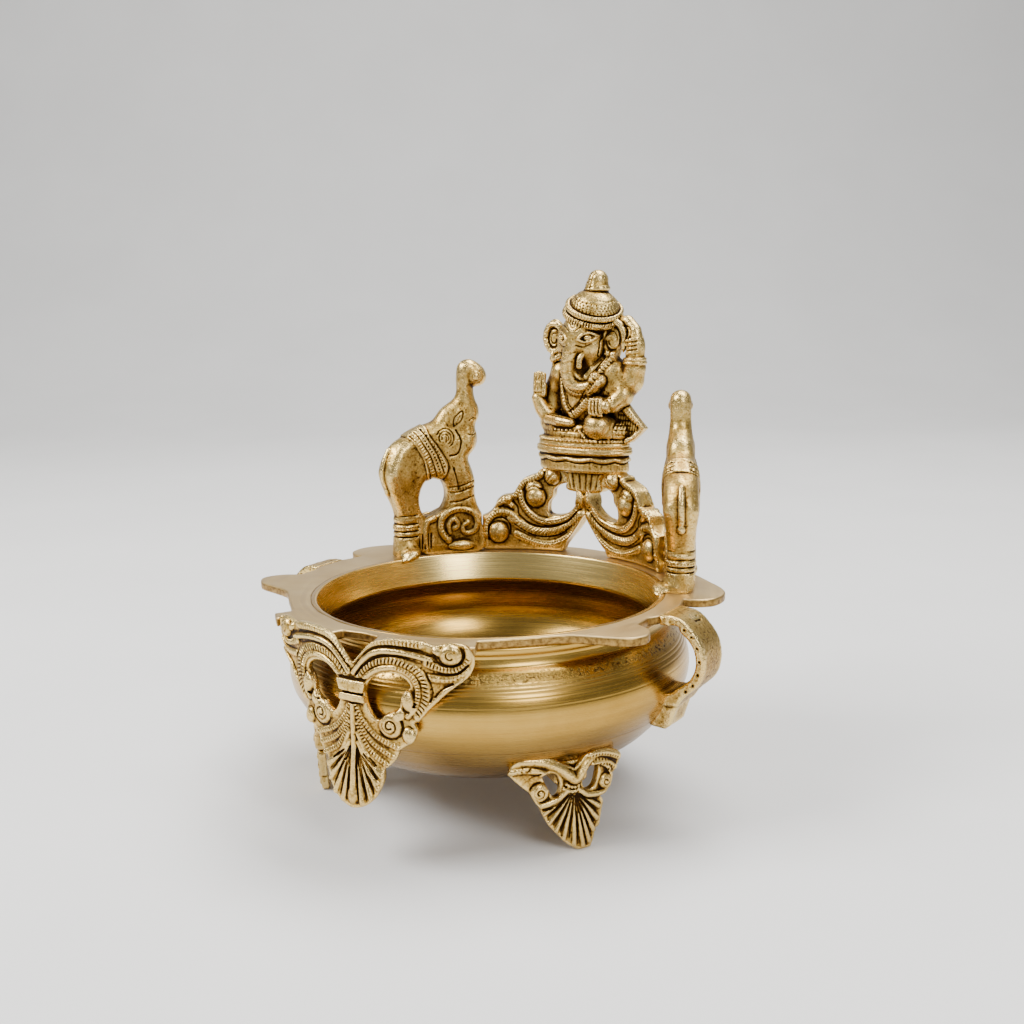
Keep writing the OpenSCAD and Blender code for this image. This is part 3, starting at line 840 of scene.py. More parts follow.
PANEL_FLARE = 2.6                   # how far the panel's tip stands out
PANEL_BEND = -40.0
panel_low, panel_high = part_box("front_panel")
PANEL_X = (panel_low.x + panel_high.x) / 2 / MM
PANEL_R = -panel_low.y / MM - PANEL_FLARE
PANEL_TIP = panel_low.z / MM - RIM_Z
PANEL_BACK = -3.2


def panel_place(points):
    """Bend the flat panel onto its ring, and flare its lower half outwards."""
    out = np.interp(-points[:, 2], (-PANEL_BEND, -PANEL_TIP), (0, PANEL_FLARE))
    shifted = points + np.stack([0 * out, out, 0 * out], 1)
    return on_ring(PANEL_X, PANEL_R, 0)(shifted)


PANEL_HALF = [(0, -9, None), (4.2, -4.6), (9, 0.2), (13, 1.8), (18, 2.6), (24, 2.7), (29.5, 2.2, None),
              (33, 0.8), (37, 1.6), (42, 1.8), (46, 0.3), (47.8, -3), (47.4, -7), (45.2, -10.4),
              (41.5, -13), (38, -16), (34, -19.6), (30, -23.6), (27, -27.4, None), (25.2, -27.6, None),
              (26.3, -31), (25, -34.4), (21.5, -36.8), (19, -38.6, None), (18, -41.6),
              (14.8, -45, None), (13.2, -46.2), (13.2, -49.5), (11.8, -53.5), (9.4, -57.4),
              (5.4, -60.8), (0, -62.4)]
PANEL_EYE = [(5.6, -20), (6.2, -16.2), (9, -12.8), (13, -10.7), (18, -10.3), (22.4, -12), (24.2, -14.6),
             (22.2, -16.2), (20.4, -19), (19.8, -22.4), (17.6, -24.4), (14.6, -25.2), (12.2, -27.4),
             (9.6, -27.8), (7, -24.6)]


# Raised strips of the panel's right half.
PANEL_TOP = spline([(1.6, -7.4), (5.4, -2.8), (9.6, 0.2), (14.5, 1.3), (21, 1.5), (28.5, 0.9)])
PANEL_SECOND = spline([(1.2, -11.6), (4.4, -7.6), (8.6, -4), (13.6, -2.2), (20, -2), (27, -2.9), (32, -4.2)])
PANEL_THIRD = spline([(3, -12.6), (7.4, -8.2), (12.6, -5.8), (18.6, -5.4), (24.6, -7), (28.6, -10.4),
                      (30, -15), (29.4, -20), (26.6, -24.8)])
PANEL_RIM = spline([(6, -13), (9.6, -10.2), (14, -8.4), (19, -8), (24, -9.8), (26.8, -13.6),
                    (27, -18), (25.8, -22), (23, -25.4)])
PANEL_WING = spline([(30.4, -5.4), (34.6, -6.8), (39, -7.6), (43, -6.4), (45.6, -3.2), (45.4, 0)])
PANEL_HEM = spline([(31.6, -10.6), (36, -11), (40.6, -10.6), (44.6, -7.6)])
PANEL_EDGE = spline([(43, -11.4), (38, -14.6), (33.6, -18.6), (29.6, -22.6), (26.6, -26)])


def front_panel():
    """The pierced palmette at the front: y is 0 on the outer face of its ribs."""
    clay = Clay((-50, -4, -64.5), (50, 2.2, 4.6), 0.33)
    outline = spline(mirrored(PANEL_HALF), closed=True)
    clay.add(plate(outline, PANEL_BACK, -0.9, edge=0.5))
    face = -0.9
    for side in (1, -1):
        flip = np.array([side, 1.0])
        for curve, half_width, height in ((PANEL_TOP, 1.55, 0.95), (PANEL_SECOND, 1.15, 1.15),
                                          (PANEL_THIRD, 1.7, 0.85), (PANEL_RIM, 1.15, 1.0),
                                          (PANEL_WING, 1.35, 1.0), (PANEL_HEM, 1.4, 0.75),
                                          (PANEL_EDGE, 1.0, 0.8)):
            band(clay, curve * flip, face, half_width, height)
        dome(clay, (39.4 * side, -2.2), face, (4.3, 3.7), 2.2)
        dome(clay, (35 * side, -1.2), face, (2.4, 1.5), 1.2, tilt=-20 * side)
        dome(clay, (23.2 * side, -19.4), face - 0.2, (2.7, 4.3), 2.3, tilt=12 * side)
        dome(clay, (16 * side, -29.6), face, (4.6, 4.4), 1.3)
        dome(clay, (19.4 * side, -25.6), face, (2.2, 3.0), 1.2, tilt=-35 * side)
        dome(clay, (23.4 * side, -32.6), face, (2.6, 3.2), 1.5, tilt=20 * side)
        for bow in range(5):
            drop = 3.6 * bow
            fade = 1 - 0.11 * bow
            rib = spline([(1.6 + 0.1 * bow, -23.5 - drop), (4.4, -29 - drop * 0.95),
                          (9.6 * fade + 0.6, -34.2 - drop * 0.9), (18.6 * fade, -37.6 - drop * 0.95)]) * flip
            band(clay, rib, face, 1.05, 0.85)
            if bow < 3:
                hatch(clay, rib, face + 0.60, 1.25, 0.6, 0.39)
        for turn, reach in ((9, 21.5), (20, 20.5), (32, 17.5), (45, 14.5)):
            a = math.radians(turn)
            root = np.array([0.8 + turn * 0.02, -38.5])
            tip = root + reach * np.array([math.sin(a), -math.cos(a)])
            t = np.linspace(0.12, 1, 6)[:, None]
            rib = (root * (1 - t) + tip * t) * flip
            clay.add(tube(at_depth(rib, face - 0.1), np.linspace(0.5, 1.1, 6)), 0.25)
    spine = spline([(0, -23), (0, -36), (0, -48), (0, -58.5)])
    wide = np.interp(np.arange(len(spine)), (0, len(spine)), (1.3, 1.5))
    clay.add(tube(at_depth(spine, face - 0.3), wide), 0.3)
    clay.add(egg((0, face - 0.4, -57.6), (2.6, 1.5, 3.4)), 0.3)
    for low, high, height in ((-18.7, -14.4, 1.5), (-22.4, -19.6, 1.3)):
        strap = [(-6.4, low), (6.4, low), (6.4, high), (-6.4, high)]
        clay.add(plate(strap, PANEL_BACK, face + height, edge=0.6), 0.3)
    clay.keep(plate(outline, PANEL_BACK, 1.6, edge=0.9)[0])

    for side in (1, -1):
        flip = np.array([side, 1.0])
        clay.cut(plate(spline(PANEL_EYE, closed=True) * flip, -6, 4, edge=0.1), 0.7)
        hatch(clay, PANEL_TOP * flip, face + 0.80, 1.45, 1.3, 0.39)
        hatch(clay, PANEL_THIRD * flip, face + 0.70, 1.5, 0.9, 0.41, slant=0.3 * side)
        eye_rim = spline([(19, -8), (24, -9.8), (26.8, -13.6), (27, -18), (25.8, -22)]) * flip
        hatch(clay, eye_rim, face + 0.85, 1.2, 0.7, 0.39)
        wing = spline([(30.4, -5.4), (34.6, -6.8), (39, -7.6), (43, -6.4), (45.6, -3.2)]) * flip
        hatch(clay, wing, face + 0.85, 1.25, 1.1, 0.39)
        hem = PANEL_HEM * flip
        dimples(clay, hem + np.array([0, 0.5]), face + 0.9, 1.5, 0.5)
        dimples(clay, hem - np.array([0, 0.7]), face + 0.8, 1.5, 0.45)
        for curve in ([(1, -9.6), (5, -5.2), (9.4, -1.8), (14.4, -0.4), (21, -0.2), (29, -1.2), (33.6, -2.6)],
                      [(2.2, -12.4), (5.6, -8.4), (10.4, -5.2), (15.4, -3.8), (21.4, -3.8), (28, -5.6)],
                      [(33.4, -2.2), (34.8, -5), (38.4, -6.2), (42.6, -5), (44, -1.8), (43, 0.6)],
                      [(29.6, -8), (31.6, -12), (32.6, -16), (31.6, -19.2)],
                      [(30.4, -8.8), (36, -9.2), (41.6, -8.8), (45.6, -5.8)],
                      [(33.4, -17.4), (36.2, -14.4), (40, -12.6)],
                      [(21, -22.2), (22.2, -23.8), (24.6, -23.2), (26, -20.4)]):
            line(clay, spline(curve) * flip, face + 0.35, 0.5)
        whorl = spiral((16 * side, -29.6), 3.6, 1.6 * side, 100)
        line(clay, whorl, face + 1.15, 0.42)
        line(clay, spiral((16 * side, -29.6), 5.1, 0.62 * side, -150 if side > 0 else -30, inner=1.0),
             face + 0.2, 0.5)
        curl = spiral((39.4 * side, -2.2), 2.2, 0.8 * side, 20, inner=0.5)
        line(clay, curl, face + 2.0, 0.3)
        for turn, reach in ((4.5, 19), (14.5, 20.5), (26, 18), (38.5, 15), (52, 12.5)):
            a = math.radians(turn)
            root = np.array([0.9 + turn * 0.02, -39.5])
            tip = root + reach * np.array([math.sin(a), -math.cos(a)])
            taper(clay, root * flip, tip * flip, face - 0.05, 0.75)
        for z in (-13.7, -19.2, -23.0):
            line(clay, np.array([(0, z), (6.6 * side, z)]), face + 0.5, 0.5)
        hatch(clay, np.array([(0.3 * side, -15.1), (6 * side, -15.1)]), face + 1.5, 1.1, 0.45, 0.26)
    return clay


# ---- feet --------------------------------------------------------------------------------

FOOT_R = 73.5                       # outer radius of a foot at its top
FOOT_TUCK = 1.0                     # how far the toe stands in from there
FOOT_DEG = 58.0                     # direction of the right foot, from the front
FOOT = [(1, -52, None), (3.3, -49.8), (6.1, -47.6), (11, -46.6), (16, -47.2), (21.2, -49.4),
        (23.2, -51.4, None), (22, -54.4), (18.9, -57.7, None), (17.4, -61.6), (16.2, -64.2),
        (12.4, -65.2, None), (14, -67.6), (13.3, -72), (12.3, -77.2, None), (10.2, -78, None), (9.5, -81.8),
        (8.2, -84.6, None), (3.4, -84.8), (0.8, -83.6), (-3.2, -80.6), (-6.5, -76.8), (-9.8, -73),
        (-12.7, -67.6, None), (-13.4, -65.5), (-15.7, -62.2), (-17.4, -59, None), (-21.2, -55.7),
        (-25.3, -51.5, None), (-23.7, -47.8), (-20, -46.4), (-15, -46.2), (-9, -46.7), (-4.8, -48.9)]
FOOT_HOLES = ([(-12.1, -53.6), (-9.1, -52.6), (-6.4, -53.8), (-5.2, -57.9), (-6, -61.4), (-8, -61.8),
               (-9.6, -59)],
              [(4.3, -57.9), (5.2, -54.8), (7.9, -52.6), (10.9, -52.7), (11.5, -54.6), (10.8, -57.9),
               (9.5, -60.6), (7.6, -61.5), (5.5, -60.9)])


def cast_foot():
    """The clay of one foot: y is 0 on its outer face."""
    clay = Clay((-27, -14.5, -86), (25, 2.0, -44.5), 0.3)
    outline = spline(FOOT, closed=True)
    face = -0.8
    clay.add(plate(outline, -4, face, edge=0.5))
    brow = spline([(-19, -47.2), (-12, -48.2), (-6, -50.8), (-1.5, -54.4), (1.2, -56.4), (3.6, -54.2),
                   (6.4, -50.8), (10.6, -49)])
    wide = np.interp(np.arange(len(brow)), (0, 18, 30, len(brow)), (1.2, 2.3, 2.3, 1.1))
    clay.add(tube(at_depth(brow, face - 0.9), wide), 0.6)
    for curve, half, height in (([(-24, -50.6), (-19, -50.2), (-14.4, -51), (-11.6, -52.4)], 1.3, 0.7),
                                ([(8, -48.2), (13, -48.4), (18, -50), (21.6, -52)], 1.4, 0.75),
                                ([(10, -50.6), (14, -51.6), (17.4, -54), (19.6, -55.6)], 1.3, 0.65),
                                ([(-17, -62), (-13.6, -64.4), (-9.4, -64), (-5.6, -62.4),
                                  (-2.4, -60)], 1.3, 1.0),
                                ([(3.2, -61), (6, -63.2), (10.4, -64), (14, -63.6), (16, -61.2)], 1.2, 1.0)):
        band(clay, spline(curve), face, half, height)
    dome(clay, (-13.4, -59.4), face, (3.7, 3.6), 1.6)
    dome(clay, (14.6, -59.8), face, (2.9, 3.0), 1.5)
    curl = spline([(8.6, -51.8), (12.4, -52.2), (15.6, -54.4), (17.4, -58), (16.4, -62)])
    ridge(clay, curl, face + 0.1, 0.8)
    beads(clay, spline([(-4.6, -58.6), (-2, -60.2), (0.6, -60.8), (3, -60)]), face + 0.2, 1.5, 0.8)
    beads(clay, spline([(-3.4, -57), (-1.4, -58.6), (1, -59.2), (2.8, -58.6)]), face + 0.2, 1.5, 0.7)
    root = np.array([0.6, -60.5])
    tips = [(-12.6, -68.4), (-10.4, -72.4), (-7.4, -76), (-4, -79.4), (0.6, -82.6), (4.6, -83.8),
            (7.4, -82.6), (9.4, -78.6), (11, -74.2), (12, -69.4)]
    for tip in tips:
        tip = np.array(tip)
        t = np.linspace(0.14, 0.97, 7)[:, None]
        clay.add(tube(at_depth(root * (1 - t) + tip * t, face - 0.15), np.linspace(0.35, 1.05, 7)), 0.25)
    clay.keep(plate(outline, -4, 1.4, edge=0.9)[0])
    for hole in FOOT_HOLES:
        clay.cut(plate(spline(hole, closed=True), -6, 4, edge=0.1), 0.8)
    tips = np.array(tips)
    for a, b in zip(tips[:-1], tips[1:]):
        middle = (a + b) / 2
        taper(clay, root + 0.1 * (middle - root), root + 0.9 * (middle - root), face - 0.1, 0.62)
    line(clay, spiral((-13.4, -59.4), 2.9, 1.5, 60), face + 1.45, 0.36)
    line(clay, spiral((14.6, -59.8), 2.2, -1.3, 120), face + 1.35, 0.34)
    line(clay, spiral((-13.4, -59.4), 4.2, 0.72, -40, inner=1.0), face + 0.2, 0.42)
    line(clay, spline([(-21, -57), (-17, -53.4), (-13, -52.2)]), face + 0.3, 0.42)
    line(clay, spline([(-19.6, -53.4), (-17.6, -50.4), (-15.4, -48.2)]), face + 0.6, 0.42)
    line(clay, spline([(-13, -66.2), (-9, -66), (-5, -64.2), (-2, -62)]), face + 0.3, 0.45)
    line(clay, spline([(2.8, -62.4), (6, -64.8), (10.4, -65.4)]), face + 0.3, 0.42)
    for row in range(4):
        drop = 1.9 * row
        speck = spline([(6.5 + row, -48.8 - drop * 0.9), (11.5, -48.6 - drop), (16.5, -50 - drop),
                        (21.4 - row, -52.2 - drop)])
        dimples(clay, speck[row * 3:], face + 0.75, 1.45, 0.5)
        speck = spline([(-23.5 + row, -50 - drop * 0.8), (-20, -48.6 - drop), (-16, -48.9 - drop)])
        dimples(clay, speck, face + 0.75, 1.6, 0.45)
    lug = [(-6.5, -49.5), (7.5, -49.5), (7.5, -57.5), (3, -60.5), (-2, -60.5), (-6.5, -57.5)]
    clay.add(plate(lug, -14, -2.5, edge=0.8), 0.8)
    clay.keep(lambda x, y, z: 0.92 * (belly_radius(z) - 0.4 - np.hypot(FOOT_R + y, 0 * x)))
    return clay


def foot_place(turn):
    """Bend a foot round the bowl at turn degrees, with its toe tucked in and flat on the floor."""
    def place(points):
        tuck = np.interp(-points[:, 2], (46, 85), (0, -FOOT_TUCK))
        shifted = points + np.stack([0 * tuck, tuck, 0 * tuck], 1)
        angle = math.radians(turn) + shifted[:, 0] / FOOT_R
        r = FOOT_R + shifted[:, 1]
        height = np.maximum(RIM_Z + shifted[:, 2], 0)
        return np.stack([BOWL_X + r * np.sin(angle), -r * np.cos(angle), height], 1)
    return place


# ---- handles -----------------------------------------------------------------------------

STRAP_T = 3.5
strap_low, strap_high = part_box("handle_right")
STRAP_Y = ((strap_low.y + strap_high.y) / 2 / MM, (strap_high.y - strap_low.y) / 2 / MM)


def cast_handle(flank, side):
    """The clay of a strap that curves out of the rim and down to a pad on the bowl, and its
    place. Outward is +x here, and flank is how far the bowl's axis stands towards this handle."""
    r = strap_high.x / MM
    middle, half = STRAP_Y
    clay = Clay((70, -half - 1.5, -47), (r + 1, half + 1.5, 2), 0.36)
    side_view = spline([(84.6, 0, None), (91, -0.2), (r - 7, -2.8), (r - 1.8, -9), (r, -16.5),
                        (r - 2, -24.5), (r - 8.5, -31), (flank + 86, -35.2, None),
                        (flank + 77, -35.6, None), (flank + 77, -30.5, None), (flank + 83, -30),
                        (r - 11.5, -27.8), (r - 5.8, -23), (r - STRAP_T - 0.3, -16.5),
                        (r - 5.5, -10.3), (r - 10, -5.7), (91, -STRAP_T), (84.6, -STRAP_T, None)],
                       closed=True)
    clay.add(plate(side_view, -half, half, edge=1.1))
    pad = [(flank + 85.6, -34.4), (flank + 86.6, -31.4), (flank + 78, -30.8), (flank + 73, -44.6),
           (flank + 80.4, -45.3), (flank + 82.6, -43.6)]
    clay.add(plate(pad, -half + 1.6, half - 1.6, edge=1.0), 0.9)
    root = [(84.2, 0), (88, 0), (88, -STRAP_T), (84.2, -STRAP_T)]
    clay.add(plate(root, -half - 0.6, half + 0.6, edge=0.8), 0.8)
    for k in range(3):
        x = r - 9.5 + 1.9 * k
        z = -1.7 - 0.95 * k
        clay.cut(tube([(x, -0.5, z), (x + 0.5, 3.4, z - 0.2)], 0.42), 0.15)
    clay.cut(egg((r - 1.4, -half + 3.2, -8.4), (0.9, 0.7, 0.9)), 0.2)
    for k in range(7):
        a = math.radians(15 + 24 * k)
        for face in (-1, 1):
            place = (r - 10.6 + 8.3 * math.sin(a), face * half, -16.6 + 12.6 * math.cos(a))
            clay.cut(egg(place, (0.65, 0.55, 0.65)), 0.2)
    along = np.array([(flank + 83.4, -35.4), (flank + 80.6, -43.4)])
    frame_y = half - 3.4
    for y in (-frame_y, frame_y):
        clay.cut(tube([(along[0, 0], y, along[0, 1]), (along[1, 0], y, along[1, 1])], 0.4), 0.15)
    for p in along:
        clay.cut(tube([(p[0] + 0.6, -frame_y, p[1]), (p[0] + 0.6, frame_y, p[1])], 0.4), 0.15)
    clay.keep(lambda x, y, z: belly_radius(z) - 0.3 - np.sqrt((x - flank)**2 + (y + middle)**2))
    def place(points):
        return np.stack([side * points[:, 0], points[:, 1] + middle, RIM_Z + points[:, 2]], 1)
    return clay, place


# ---- rim plate ---------------------------------------------------------------------------

def rim_loops():
    """The outer edge of the plate's top face, in order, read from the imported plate."""
    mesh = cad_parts["rim_plate"].data
    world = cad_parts["rim_plate"].matrix_world
    top = {}
    for polygon in mesh.polygons:
        if polygon.normal.z < 0.9:
            continue
        ring = [tuple(round(c / MM, 2) for c in world @ mesh.vertices[v].co) for v in polygon.vertices]
        if min(p[2] for p in ring) < RIM_Z - 0.05:
            continue
        for a, b in zip(ring, ring[1:] + ring[:1]):
            if (b, a) in top:
                del top[(b, a)]
            else:
                top[(a, b)] = True
    after = {a: b for a, b in top}
    loops = []
    while after:
        at = next(iter(after))
        loop = []
        while at in after:
            loop.append(at[:2])
            at = after.pop(at)
        loops.append(np.array(loop))
    return sorted(loops, key=lambda loop: -np.ptp(loop[:, 0]))


def resampled(loop, gap):
    """The same closed loop, with points about gap apart and its corners kept."""
    out = []
    for a, b in zip(loop, np.roll(loop, -1, axis=0)):
        count = max(int(math.ceil(np.linalg.norm(b - a) / gap)), 1)
        out += [a + (b - a) * i / count for i in range(count)]
    return np.array(out)


def inset(loop, amount):
    """A closed loop moved to its left by amount, measured at each point's mean direction."""
    ahead = np.roll(loop, -1, axis=0) - loop
    behind = loop - np.roll(loop, 1, axis=0)
    way = (ahead / np.maximum(np.linalg.norm(ahead, axis=1, keepdims=True), 1e-6)
           + behind / np.maximum(np.linalg.norm(behind, axis=1, keepdims=True), 1e-6))
    way /= np.maximum(np.linalg.norm(way, axis=1, keepdims=True), 1e-6)
    return loop + np.broadcast_to(amount, len(loop))[:, None] * np.stack([-way[:, 1], way[:, 0]], 1)


def cut_rim():
    """The rim plate, with filed edges that are slightly uneven and a worn corner all round."""
    outer = resampled(rim_loops()[0], 0.9)
    area = np.sum(outer[:, 0] * np.roll(outer[:, 1], -1) - np.roll(outer[:, 0], -1) * outer[:, 1])
    if area < 0:
        outer = outer[::-1]
    wobble = np.array([noise.noise(Vector((x * 0.22, y * 0.22, 3.0)))
                       + 0.5 * noise.noise(Vector((x * 0.7, y * 0.7, 9.0))) for x, y in outer])
    steps = ((0.0, 0.75, 1), (-0.06, 0.45, 1), (-0.3, 0.12, 0.3), (-0.75, 0.0, 0), (-1.7, 0.05, 0),
             (-2.6, 0.05, 0), (-3.1, 0.2, 0), (-PLATE_T + 0.1, 0.6, 0), (-PLATE_T, 0.9, 0))
    rings, marks = [], {"top": [], "wear_and_shade": [], "groove": []}
    for z, inward, top in steps:
        ring = inset(outer, inward + 0.12 + 0.13 * wobble)
        rings.append(np.column_stack([ring, np.full(len(ring), RIM_Z + z)]))
        marks["top"] += [top] * len(ring)
        # On the rim this mark holds wear alone, with no painted shade: the corner under the top is rubbed
        # brighter.
        marks["wear_and_shade"] += [1.0 if -0.5 < z < -0.01 else 0.35] * len(ring)
        marks["groove"] += [0.0] * len(ring)
    count = len(outer)
    sides = 240
    turn = np.arange(sides) * 2 * math.pi / sides
    inner = []
    for z, gap, top, groove in ((0.0, 0.5, 1, 0), (-0.02, 0.25, 1, 0.5), (-0.25, 0.06, 0, 1),
                                (-PLATE_T, 0.06, 0, 0)):
        radius = MOUTH_R + LIP_W + gap
        inner.append(np.stack([BOWL_X + radius * np.sin(turn), -radius * np.cos(turn),
                               np.full(sides, RIM_Z + z)], 1))
        marks["top"] += [top] * sides
        marks["wear_and_shade"] += [0.5] * sides
        marks["groove"] += [groove] * sides
    points = np.concatenate(rings + inner)
    base = len(steps) * count
    quads = []
    for first, size, rows, flip in ((0, count, len(steps), True), (base, sides, 4, False)):
        i = np.arange(size)
        j = (i + 1) % size
        if flip:
            i, j = j, i
        for start in first + size * np.arange(rows - 1):
            quads.append(start + np.stack([i, j, size + j, size + i], 1))
    faces = [tuple(q) for q in np.concatenate(quads)]
    for outer_row, inner_row, upward in ((0, 0, True), (len(steps) - 1, 3, False)):
        out_ids = outer_row * count + np.arange(count)
        in_ids = base + inner_row * sides + np.arange(sides)
        ids = np.concatenate([out_ids, in_ids])
        flat = [Vector(points[i][:2]) for i in ids]
        edges = [(i, (i + 1) % count) for i in range(count)]
        edges += [(count + i, count + (i + 1) % sides) for i in range(sides)]
        verts, _, tris, origin, _, _ = geometry.delaunay_2d_cdt(flat, edges, [], 0, 1e-5)
        for tri in tris:
            centre = sum((verts[v] for v in tri), Vector((0, 0))) / 3
            if (centre - Vector((BOWL_X, 0))).length < MOUTH_R + LIP_W:
                continue
            if not inside_loop(points[out_ids][:, :2], centre):
                continue
            corner = [int(ids[origin[v][0]]) if origin[v] else nearest(flat, verts[v], ids)
                      for v in tri]
            if len(set(corner)) == 3:
                faces.append(tuple(corner if upward else corner[::-1]))
    mesh = bpy.data.meshes.new("rim_filed")
    mesh.from_pydata([tuple(p * MM) for p in points], [], faces)
    return shown(mesh, marks)


def nearest(flat, place, ids):
    """The id of the flat point that is nearest to a place."""
    return int(ids[min(range(len(flat)), key=lambda i: (flat[i] - place).length_squared)])


def inside_loop(loop, point):
    """Whether a point lies inside a closed loop."""
    a, b = loop, np.roll(loop, -1, axis=0)
    crosses = (a[:, 1] > point[1]) != (b[:, 1] > point[1])
    with np.errstate(divide="ignore", invalid="ignore"):
        at = (b[:, 0] - a[:, 0]) * (point[1] - a[:, 1]) / (b[:, 1] - a[:, 1]) + a[:, 0]
    return bool(np.sum(crosses & (point[0] < at)) % 2)


# ---- crest: elephants --------------------------------------------------------------------

ELEPHANT = [(-91, 0, None), (-90.4, 12), (-90, 19), (-91.8, 25), (-94, 30), (-96, 38), (-94.4, 44),
            (-90, 50.6), (-83, 55.6), (-76, 59), (-70.5, 61.2), (-66.4, 66.4), (-61.4, 69.8), (-58.8, 74),
            (-58.9, 80), (-58.4, 84.6), (-55.6, 87.8), (-52.6, 88.5), (-49.4, 87), (-46.6, 84.4),
            (-45.5, 81), (-46.6, 77.8), (-49.6, 76.6), (-52, 76.2), (-51.6, 72), (-49.4, 67), (-49.2, 62.6),
            (-51, 58.6), (-50.6, 53), (-51.6, 48), (-54.6, 44), (-53.6, 39), (-51.8, 33), (-52, 27),
            (-50.6, 21), (-48.7, 17, None), (-48.7, 0, None)]
ELEPHANT_GAP = [(-72, 35.6), (-67.4, 33), (-65.8, 27), (-67.6, 21.4), (-71.6, 18.2), (-75.8, 17.8),
                (-78.4, 21), (-79, 27), (-76.6, 33)]
ELEPHANT_HALF = [(0, 5.8), (16, 5.4), (30, 6.2), (38, 7), (52, 6.8), (60, 5.4), (67, 4.6), (90, 4.2)]


